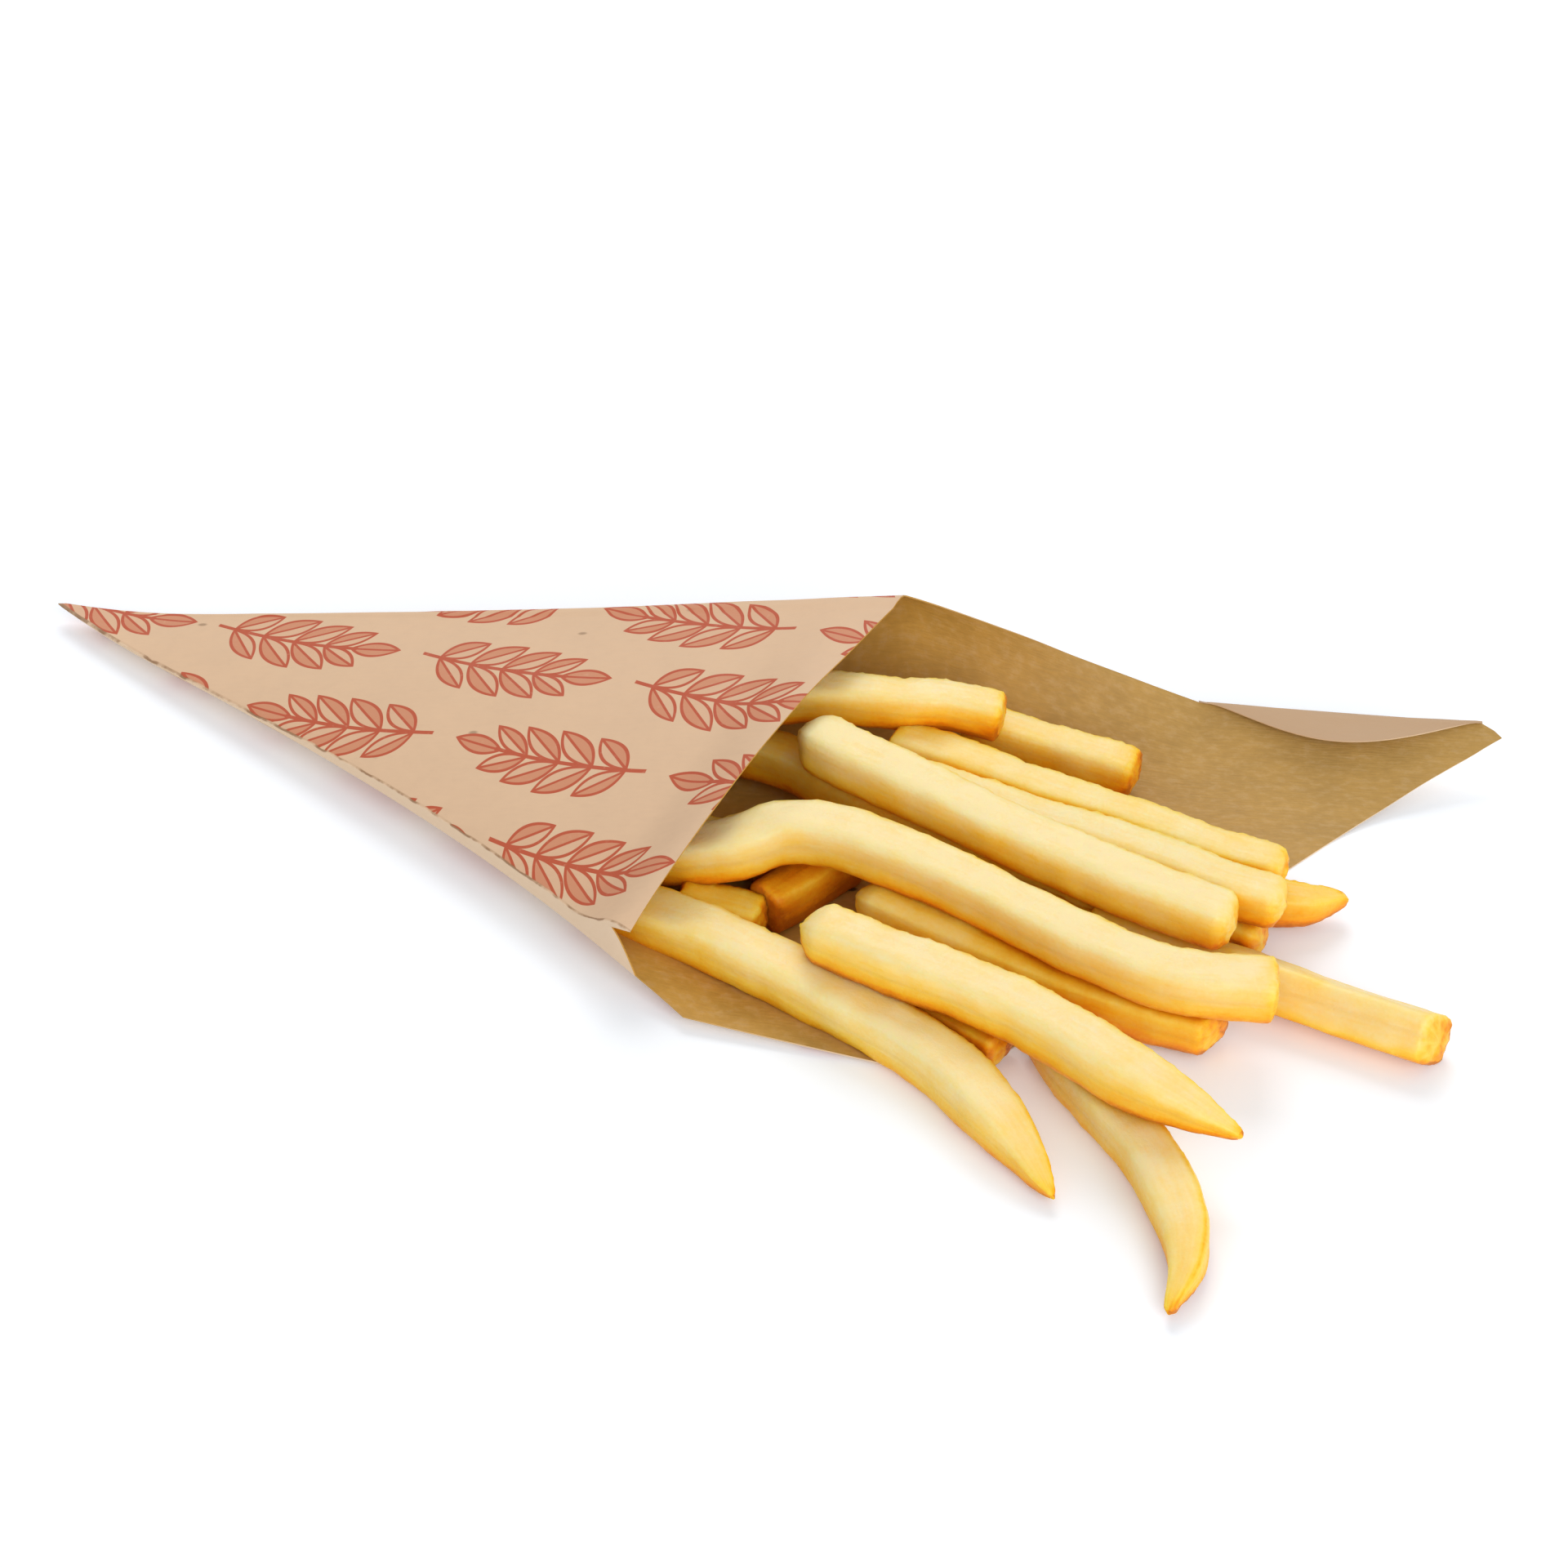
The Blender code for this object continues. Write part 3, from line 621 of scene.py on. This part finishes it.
def draw_fry(path, width, thickness, start=CUT_END, end=CUT_END, roll=(0.0, 0.0), tone=(0.0, 0.0), seed=1):
    """Draws one fry along its path and gives it as a new object."""
    places, slopes, lengths = curve_through(path)
    length = lengths[-1]
    inner = np.linspace(END_RINGS[-1], length - END_RINGS[-1], STICK_RINGS + 3 - 2 * len(END_RINGS))
    ring_places = np.concatenate((END_RINGS, inner[1:-1], length - np.array(END_RINGS[::-1])))
    ring = np.rint((stick_points[:, 0] + 1.0) / 2.0 * STICK_RINGS).astype(int)
    distance = ring_places[ring]
    side, rise = stick_points[:, 1], stick_points[:, 2]
    reach = np.maximum(np.maximum(np.abs(side), np.abs(rise)), 1e-6)
    unit_side, unit_rise = side / reach, rise / reach
    shape = (np.abs(unit_side) ** SQUARENESS + np.abs(unit_rise) ** SQUARENESS) ** (-1.0 / SQUARENESS)
    side, rise = unit_side * shape * reach, unit_rise * shape * reach
    corner = np.minimum(np.abs(unit_side), np.abs(unit_rise))

    swell = np.array([noise.noise(Vector((spot / 22.0, seed * 3.1, 0.0))) for spot in ring_places])
    thin = np.array([noise.noise(Vector((spot / 18.0, seed * 5.3, 4.0))) for spot in ring_places])
    wander = np.array([noise.noise(Vector((spot / 16.0, seed * 7.7, 8.0))) for spot in ring_places])
    half = min(width, thickness) / 2.0
    scale = np.minimum(end_scale(distance, half, start["rounding"], start["taper"], start["left"]),
                       end_scale(length - distance, half, end["rounding"], end["taper"], end["left"]))
    side = side * width / 2.0 * scale * (1.0 + 0.09 * swell[ring])
    rise = rise * thickness / 2.0 * scale * (1.0 + 0.07 * thin[ring])
    side += 0.35 * wander[ring]

    # The cut ends slope a little, and their faces swell.
    cap_start, cap_end = ring == 0, ring == STICK_RINGS
    bulge = 0.45 * (1.0 - reach ** 2)
    travel = distance + np.where(cap_end, bulge, 0.0) - np.where(cap_start, bulge, 0.0)
    travel += start["slant"] * side * np.exp(-distance / 5.0) + end["slant"] * side * np.exp((distance - length) / 5.0)
    inside = np.clip(travel, 0.0, length)
    place = np.stack([np.interp(inside, lengths, places[:, k]) for k in range(3)], axis=-1)
    ahead = np.stack([np.interp(inside, lengths, slopes[:, k]) for k in range(3)], axis=-1)
    ahead /= np.linalg.norm(ahead, axis=1, keepdims=True)
    place += ahead * (travel - inside)[:, None]
    aside = np.stack([-ahead[:, 1], ahead[:, 0], np.zeros(len(ahead))], axis=-1)
    aside /= np.linalg.norm(aside, axis=1, keepdims=True)
    above = np.cross(ahead, aside)
    turn = np.radians(np.interp(distance, (0.0, length), roll))[:, None]
    right = aside * np.cos(turn) + above * np.sin(turn)
    top = above * np.cos(turn) - aside * np.sin(turn)
    place += right * side[:, None] + top * rise[:, None]

    one = stick.copy()
    one.data = stick.data.copy()
    bpy.context.scene.collection.objects.link(one)
    mesh = one.data
    mesh.vertices.foreach_set("co", (place * MM).ravel())
    mesh.update()
    normals = np.empty(len(mesh.vertices) * 3)
    mesh.vertex_normals.foreach_get("vector", normals)
    normals = normals.reshape(-1, 3)

    # Frying leaves lumps, shallow hollows along the faces and a rough crisp edge.
    around = np.arctan2(unit_rise, unit_side)
    far_edge = smooth_step(0.5 + 2.0 * unit_side)
    crisp = smooth_step((corner - 0.66) / 0.3) * (0.25 + 0.75 * far_edge)
    end_reach = np.minimum(distance, length - distance)
    crisp = np.maximum(crisp, smooth_step(1.0 - end_reach / 2.2))
    height = -0.16 * (1.0 - corner ** 2) * smooth_step(end_reach / 3.0)
    for index in range(len(place)):
        x, y, z = place[index]
        lump = noise.noise(Vector((x / 5.2 + seed, y / 5.2, z / 5.2)))
        ridge = noise.noise(Vector((distance[index] / 9.0, around[index] * 3.2, seed * 2.0)))
        crumb = noise.noise(Vector((x / 1.15, y / 1.15 + seed, z / 1.15)))
        height[index] += 0.26 * lump + 0.10 * ridge + (0.05 + 0.25 * crisp[index]) * crumb
    place += normals * height[:, None]
    place[:, 2] = np.maximum(place[:, 2], 0.03)
    mesh.vertices.foreach_set("co", (place * MM).ravel())
    mesh.update()

    # How brown it is, with painted shade: paler on top and more golden down the sides and underneath as painted shade,
    # crisp at edges and ends.
    upward = top[:, 2] * unit_rise + right[:, 2] * unit_side
    shaded = 0.42 * smooth_step((0.9 - normals[:, 2]) / 1.5) + 0.28 * smooth_step((0.3 - upward) / 1.2)
    shaded = np.where(cap_start | cap_end, 0.2, shaded)
    ends = (start["brown"] * np.exp(-distance / 2.5) + end["brown"] * np.exp((distance - length) / 2.5))
    browning_and_shade = np.interp(distance, np.linspace(0.0, length, len(tone)), tone) + shaded + ends
    browning_and_shade += far_edge * (0.12 * corner ** 2 + 0.18 * crisp)
    colours = np.stack([browning_and_shade, crisp, np.full(len(place), (seed * 0.37) % 1.0), np.ones(len(place))], axis=-1)
    mesh.attributes.new("browning_and_shade", 'FLOAT_COLOR', 'POINT').data.foreach_set("color", colours.astype(np.float32).ravel())
    grain_place = np.stack([distance + seed * 200.0, around * 5.0, np.full(len(place), seed * 10.0)], axis=-1)
    mesh.attributes.new("grain_place", 'FLOAT_VECTOR', 'POINT').data.foreach_set(
        "vector", (grain_place * MM).astype(np.float32).ravel())
    for face in mesh.polygons:
        face.use_smooth = True
    return one


# The surface of fried potato: a tone for how brown it is, with painted shade in it, streaks along the cut,
# small blisters, and the height of both.
fried, fried_in, fried_out = new_group(
    "fried_surface", {"Browning And Shade": FLOAT, "Crispness": FLOAT, "Grain Place": VECTOR, "Depth": FLOAT},
    {"Colour": COLOUR, "Roughness": FLOAT, "Height": FLOAT})
here = add_node(fried, 'ShaderNodeTexCoord').outputs["Object"]
patches = add_node(fried, 'ShaderNodeTexNoise', {"Vector": here, "Scale": 170.0, "Detail": 3.0})
lengthwise = add_node(fried, 'ShaderNodeMapping', {"Vector": fried_in.outputs["Grain Place"], "Scale": (0.16, 1.0, 1.0)})
streaks = add_node(fried, 'ShaderNodeTexNoise', {"Vector": lengthwise.outputs[0], "Scale": 900.0, "Detail": 4.0})
pores = add_node(fried, 'ShaderNodeTexNoise', {"Vector": here, "Scale": 1500.0, "Detail": 3.0, "Roughness": 0.6})
edge_marks = add_node(fried, 'ShaderNodeTexNoise', {"Vector": here, "Scale": 650.0, "Detail": 3.0})
spread = calculate(fried, 'MULTIPLY_ADD', patches.outputs[0], 0.40, -0.20)
spread = calculate(fried, 'ADD', spread, calculate(fried, 'MULTIPLY_ADD', streaks.outputs[0], 0.28, -0.14))
spread = calculate(fried, 'ADD', spread, calculate(fried, 'MULTIPLY_ADD', pores.outputs[0], 0.16, -0.08))
marked = calculate(fried, 'MULTIPLY', fried_in.outputs["Crispness"],
                   calculate(fried, 'MULTIPLY_ADD', edge_marks.outputs[0], 1.1, -0.45))
tone = calculate(fried, 'ADD', fried_in.outputs["Browning And Shade"], calculate(fried, 'ADD', spread,
                 calculate(fried, 'MULTIPLY', marked, 0.42)))
ramp = add_node(fried, 'ShaderNodeValToRGB', {0: tone})
stops = ((0.0, (0.90, 0.745, 0.38)), (0.20, (0.92, 0.68, 0.23)), (0.42, (0.95, 0.60, 0.075)),
         (0.62, (0.94, 0.47, 0.012)), (0.82, (0.86, 0.29, 0.002)), (1.0, (0.54, 0.15, 0.002)))
while len(ramp.color_ramp.elements) < len(stops):
    ramp.color_ramp.elements.new(0.5)
for element, (spot, colour) in zip(ramp.color_ramp.elements, stops):
    element.position = spot
    element.color = (*colour, 1.0)
fried.links.new(ramp.outputs[0], fried_out.inputs["Colour"])
fried.links.new(ease(fried, pores.outputs[0], 0.3, 0.7, 0.42, 0.58), fried_out.inputs["Roughness"])
relief = calculate(fried, 'ADD', calculate(fried, 'MULTIPLY', streaks.outputs[0], 0.6),
                   calculate(fried, 'ADD', pores.outputs[0], calculate(fried, 'MULTIPLY', edge_marks.outputs[0], 0.8)))
fried.links.new(calculate(fried, 'MULTIPLY', relief, fried_in.outputs["Depth"]), fried_out.inputs["Height"])


def potato_material(name, darker):
    made, tree, shader = new_material(name)
    painted = add_node(tree, 'ShaderNodeAttribute', attribute_name="browning_and_shade")
    parts = add_node(tree, 'ShaderNodeSeparateColor', {0: painted.outputs["Color"]})
    along_cut = add_node(tree, 'ShaderNodeAttribute', attribute_name="grain_place")
    surface = add_node(tree, 'ShaderNodeGroup', node_tree=fried)
    tree.links.new(calculate(tree, 'ADD', parts.outputs[0], darker), surface.inputs["Browning And Shade"])
    tree.links.new(parts.outputs[1], surface.inputs["Crispness"])
    tree.links.new(along_cut.outputs["Vector"], surface.inputs["Grain Place"])
    surface.inputs["Depth"].default_value = 1.0
    tree.links.new(surface.outputs["Colour"], shader.inputs["Base Color"])
    tree.links.new(surface.outputs["Roughness"], shader.inputs["Roughness"])
    bump = add_node(tree, 'ShaderNodeBump', {"Height": surface.outputs["Height"], "Distance": 0.00016,
                                             "Strength": 0.7})
    tree.links.new(bump.outputs[0], shader.inputs["Normal"])
    shader.inputs["Subsurface Weight"].default_value = 0.75
    shader.inputs["Subsurface Radius"].default_value = (1.0, 0.7, 0.3)
    shader.inputs["Subsurface Scale"].default_value = 0.0042
    shader.inputs["Specular IOR Level"].default_value = 0.3
    shader.inputs["Coat Weight"].default_value = 0.06
    shader.inputs["Coat Roughness"].default_value = 0.25
    return made


potato = potato_material("fried_potato_surface", 0.0)


GAP_SHADE = 0.62
GAP_SHADE_REACH = 9.0
kinds = []


def finish_kind(name, fries):
    """Joins the fries of one kind into one piece."""
    bpy.ops.object.select_all(action='DESELECT')
    for one in fries:
        one.select_set(True)
    bpy.context.view_layer.objects.active = fries[0]
    bpy.ops.object.join()
    piece = bpy.context.object
    piece.name = name
    piece.data.name = name
    piece.data.materials.clear()
    piece.data.materials.append(potato)
    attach(piece, "root")
    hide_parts("fries")
    kinds.append(piece)


# Several fries' tone lists run higher where they lie in the bag's mouth or under other fries: painted shade there,
# besides their own browning.
# Fries cut from the outside of the potato, which run out to a point.
finish_kind("pointed_fries", [
    draw_fry([(-27, 4.4, 4.6), (-19, -0.8, 5.6), (-9, -6.0, 5.8), (9, -18, 4.9), (26, -32, 4.7), (38, -48, 4.4), (45.5, -62, 2.2)],
             9.4, 8.8, dict(SOFT_END, taper=10.0, left=0.6), POINTED_END,
             tone=(0.5, 0.12, 0.0, 0.0, 0.0, 0.08, 0.30), seed=1),
    draw_fry([(7, -12, 13.2), (22, -21, 13.2), (41, -32, 13.2), (57, -46, 13), (74, -58, 11.6)],
             9.2, 8.8, ROUND_END, dict(POINTED_END, left=0.16), tone=(0.08, 0.04, 0.08, 0.20), seed=2),
    draw_fry([(58, 17, 5.0), (69, 12, 5.0), (82, 5, 4.6), (90, 3.4, 4.4), (97, 5.6, 3.8)],
             7.2, 7.0, CUT_END, dict(POINTED_END, taper=14.0, left=0.3), tone=(0.30, 0.30), seed=3),
    draw_fry([(46, -26, 4.4), (50, -35, 4.3), (54.2, -43.3, 4.2), (60.6, -55.3, 4.1), (64.6, -68.7, 4.0),
              (64.7, -78, 3.4), (61.6, -86, 2.0)],
             9.2, 8.2, CUT_END, POINTED_END, roll=(0.0, 8.0),
             tone=(0.1, 0.0, 0.0, 0.14, 0.36), seed=4),
])
# Long fries from the middle of the potato, square at both ends.
finish_kind("long_fries", [
    draw_fry([(-30, 26, 5.2), (-18, 12.5, 7.7), (-5, 7.8, 12.7), (5, 8.8, 15.5), (17, 5, 16), (33, -4, 15),
              (51, -17, 14.2), (66, -25, 13.6), (82, -27, 13.2)], 9.2, 8.8, CUT_END, CUT_END,
             tone=(0.3, 0.0, 0.0, 0.0, 0.0, 0.04), seed=5),
    draw_fry([(7, 31, 18.5), (20, 21, 18), (43, 5, 17), (62, -7, 16.2), (76, -14, 15.5)],
             9.2, 8.8, ROUND_END, SOFT_END, seed=6),
    draw_fry([(27, 23, 13.5), (42, 15, 13.5), (62, 5, 13.5), (76, -3, 13.5), (85, -7, 13.5)],
             8.2, 8.0, CUT_END, SOFT_END, tone=(0.06, 0.06), seed=7),
    draw_fry([(23, 36, 12), (37, 28, 12.3), (50, 20, 12.5), (64, 13, 12.5), (76, 6, 12.5), (86, 2, 12.5)],
             7.8, 7.6, CUT_END, SOFT_END, tone=(0.16, 0.16), seed=8),
    draw_fry([(-30, 53, 5.4), (-13, 45, 6.5), (4, 36, 8), (14, 28, 8), (26, 20, 7.5), (42, 10, 6.5), (58, -1, 5.2)],
             8.0, 8.0, tone=(0.24, 0.30), seed=9),
    draw_fry([(55, -2, 5.2), (67, -9, 5.0), (83, -17, 4.8), (96, -24, 4.8), (108, -30, 4.8)],
             8.8, 8.6, CUT_END, dict(CUT_END, slant=0.3, brown=0.14), roll=(-30, -40), tone=(0.14, 0.14), seed=10),
])
# Short fries and broken pieces that lie under and between the long ones.
finish_kind("short_fries", [
    draw_fry([(-13, 4.2, 4.3), (-7, 2, 4.3), (0.5, -0.8, 4.3)], 8.4, 7.4, CUT_END, CUT_END, tone=(0.26, 0.30), seed=11),
    draw_fry([(16, 1.4, 7.8), (29, -6.2, 6.8), (42, -13.6, 5.9), (57, -21.6, 5.2), (73, -27.5, 4.8)],
             8.2, 8.0, ROUND_END, dict(CUT_END, slant=0.35, brown=0.1), tone=(0.14, 0.32, 0.26), seed=12),
    draw_fry([(-38, 33, 5), (-24, 26, 5.2), (-8, 18, 5), (6, 14, 5)], 7.8, 7.6, tone=(0.2, 0.3), seed=13),
    draw_fry([(30, 26, 5.2), (42, 21, 5.2), (56, 15, 5.2)], 7.8, 7.6, tone=(0.3, 0.3), seed=14),
    draw_fry([(61, 7, 5.1), (71, 0, 5), (82, -6, 4.8)], 7.8, 7.8, tone=(0.15, 0.12), seed=15),
    draw_fry([(-14, 46, 14), (0, 42, 16.8), (12, 41, 18), (23, 40, 17.6), (32, 40, 17), (41, 38, 16)],
             7.8, 7.6, CUT_END, dict(CUT_END, brown=0.35), tone=(0.14, 0.05), seed=16),
    draw_fry([(35, 45, 9.5), (43, 42, 8.6), (54, 38, 7.6), (64, 34, 6.8)], 7.4, 7.2, CUT_END,
             dict(CUT_END, brown=0.35), tone=(0.14, 0.14), seed=17),
    draw_fry([(17, -13, 4.3), (28, -22, 4.2), (39, -30.5, 4.0)], 7.4, 7.0, CUT_END, dict(CUT_END, brown=0.0),
             tone=(0.34, 0.34), seed=18),
    draw_fry([(0.5, 2.0, 4.4), (8, 9, 4.4), (15, 15.5, 4.4)], 7.8, 8.4, dict(CUT_END, brown=0.1), CUT_END,
             tone=(0.54, 0.54), seed=19),
])

# Where fries lie close to one another they are painted a deeper gold: painted shade and warm light bounced between
# them.
heap_points, heap_faces = [], []
for piece in kinds:
    first = len(heap_points)
    heap_points.extend(point.co / MM for point in piece.data.vertices)
    heap_faces.extend([first + index for index in face.vertices] for face in piece.data.polygons)
heap_surface = BVHTree.FromPolygons(heap_points, heap_faces)
for piece in kinds:
    mesh = piece.data
    gap_shade_amount = np.zeros(len(mesh.vertices))
    for index, point in enumerate(mesh.vertices):
        normal = point.normal
        aside = normal.orthogonal()
        beside = normal.cross(aside)
        start = point.co / MM + normal * 0.3
        for tilt in (normal, normal + aside, normal - aside, normal + beside, normal - beside):
            gap = heap_surface.ray_cast(start, tilt.normalized(), GAP_SHADE_REACH)[3]
            if gap is not None:
                gap_shade_amount[index] += 0.2 * (1.0 - gap / GAP_SHADE_REACH)
    pairs = np.empty(len(mesh.edges) * 2, dtype=int)
    mesh.edges.foreach_get("vertices", pairs)
    pairs = pairs.reshape(-1, 2)
    neighbours = np.bincount(pairs.ravel(), minlength=len(gap_shade_amount))
    for _ in range(6):
        total = np.bincount(pairs[:, 0], gap_shade_amount[pairs[:, 1]], len(gap_shade_amount))
        total += np.bincount(pairs[:, 1], gap_shade_amount[pairs[:, 0]], len(gap_shade_amount))
        gap_shade_amount = 0.5 * gap_shade_amount + 0.5 * total / neighbours
    colours = np.empty(len(mesh.vertices) * 4, np.float32)
    mesh.attributes["browning_and_shade"].data.foreach_get("color", colours)
    colours[0::4] += GAP_SHADE * gap_shade_amount
    mesh.attributes["browning_and_shade"].data.foreach_set("color", colours)

# ---------------------------------------------------------------------------
# The middle of the heap
# Packed fries that nothing shows of but a golden dark between the others; the mound is painted a deep gold as painted
# shade.
# One low mound, kept well inside the heap.
# ---------------------------------------------------------------------------
HEAP_FOOT = ((22, 26, 1.6), (42, 14, 1.6), (62, 2, 1.6), (60, -8, 1.6), (44, -4, 1.6), (26, 8, 1.6))
HEAP_CREST = ((24, 24, 8.5), (42, 16, 9.5), (60, 2, 9), (56, -8, 8.5), (38, -2, 8.5), (26, 12, 8.5))
bpy.ops.object.select_all(action='DESELECT')
bpy.ops.mesh.primitive_ico_sphere_add(subdivisions=1, radius=0.001)
core = bpy.context.object
core.name = "packed_heap"
core.data.clear_geometry()
core.data.from_pydata([(x * MM, y * MM, z * MM) for x, y, z in HEAP_FOOT + HEAP_CREST], [], [])
bpy.ops.object.mode_set(mode='EDIT')
bpy.ops.mesh.select_all(action='SELECT')
bpy.ops.mesh.convex_hull()
bpy.ops.object.mode_set(mode='OBJECT')
remesh = core.modifiers.new("even_mesh", 'REMESH')
remesh.mode = 'VOXEL'
remesh.voxel_size = 0.0012
bpy.ops.object.modifier_apply(modifier=remesh.name)
lumps = bpy.data.textures.new("heap_lumps", 'CLOUDS')
lumps.noise_scale = 0.006
swelling = core.modifiers.new("lumps", 'DISPLACE')
swelling.texture = lumps
swelling.texture_coords = 'LOCAL'
swelling.strength = 0.0022
swelling.mid_level = 0.7
bpy.ops.object.modifier_apply(modifier=swelling.name)
for face in core.data.polygons:
    face.use_smooth = True
# Its deep gold browning is painted shade for the dark between the fries.
painted = np.tile(np.array([0.55, 0.3, 0.5, 1.0], np.float32), len(core.data.vertices))
core.data.attributes.new("browning_and_shade", 'FLOAT_COLOR', 'POINT').data.foreach_set("color", painted)
core_points = np.empty(len(core.data.vertices) * 3, np.float32)
core.data.vertices.foreach_get("co", core_points)
core.data.attributes.new("grain_place", 'FLOAT_VECTOR', 'POINT').data.foreach_set("vector", core_points)
core.data.materials.clear()
core.data.materials.append(potato_material("packed_potato_shade", 0.05))
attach(core, "root")
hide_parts("fries")
bpy.data.objects.remove(stick, do_unlink=True)

# ---------------------------------------------------------------------------
# Floor, light and camera
# A white table under a broad soft light, seen from the front and above.
# ---------------------------------------------------------------------------
bpy.ops.object.select_all(action='DESELECT')
bpy.ops.mesh.primitive_plane_add(size=6.0)
floor = bpy.context.object
floor.name = "floor"
white, white_tree, white_shader = new_material("white_floor")
white_shader.inputs["Base Color"].default_value = (0.91, 0.95, 1.0, 1.0)
white_shader.inputs["Emission Color"].default_value = (1.0, 1.0, 1.0, 1.0)
white_shader.inputs["Emission Strength"].default_value = 0.12
white_shader.inputs["Roughness"].default_value = 0.9
white_shader.inputs["Specular IOR Level"].default_value = 0.1
floor.data.materials.append(white)

world = bpy.data.worlds.new("studio")
bpy.context.scene.world = world
world.use_nodes = True
world.node_tree.nodes["Background"].inputs["Color"].default_value = (1.0, 1.0, 1.0, 1.0)
world.node_tree.nodes["Background"].inputs["Strength"].default_value = 0.54


def soft_light(name, place, aim, size, power):
    lamp = bpy.data.lights.new(name, 'AREA')
    lamp.shape = 'SQUARE'
    lamp.size = size
    lamp.energy = power
    lit = bpy.data.objects.new(name, lamp)
    bpy.context.scene.collection.objects.link(lit)
    lit.location = place
    lit.rotation_euler = (Vector(aim) - Vector(place)).to_track_quat('-Z', 'Y').to_euler()


soft_light("key_light", (0.0, 0.95, 0.90), (0.0, 0.0, 0.0), 0.7, 7.0)
soft_light("fill_light", (0.50, -0.98, 0.62), (0.0, 0.0, 0.0), 0.9, 8.6)

CAMERA_AIM = (0.004, 0.0395, 0.0)
CAMERA_DISTANCE = 0.75
CAMERA_RISE = math.radians(40)
lens = bpy.data.cameras.new("camera")
lens.lens = 100.0
lens.sensor_width = 36.0
camera = bpy.data.objects.new("camera", lens)
bpy.context.scene.collection.objects.link(camera)
camera.location = (CAMERA_AIM[0], CAMERA_AIM[1] - CAMERA_DISTANCE * math.cos(CAMERA_RISE),
                   CAMERA_DISTANCE * math.sin(CAMERA_RISE))
camera.rotation_euler = (math.pi / 2 - CAMERA_RISE, 0.0, 0.0)
bpy.context.scene.camera = camera
bpy.context.scene.view_settings.view_transform = 'Standard'
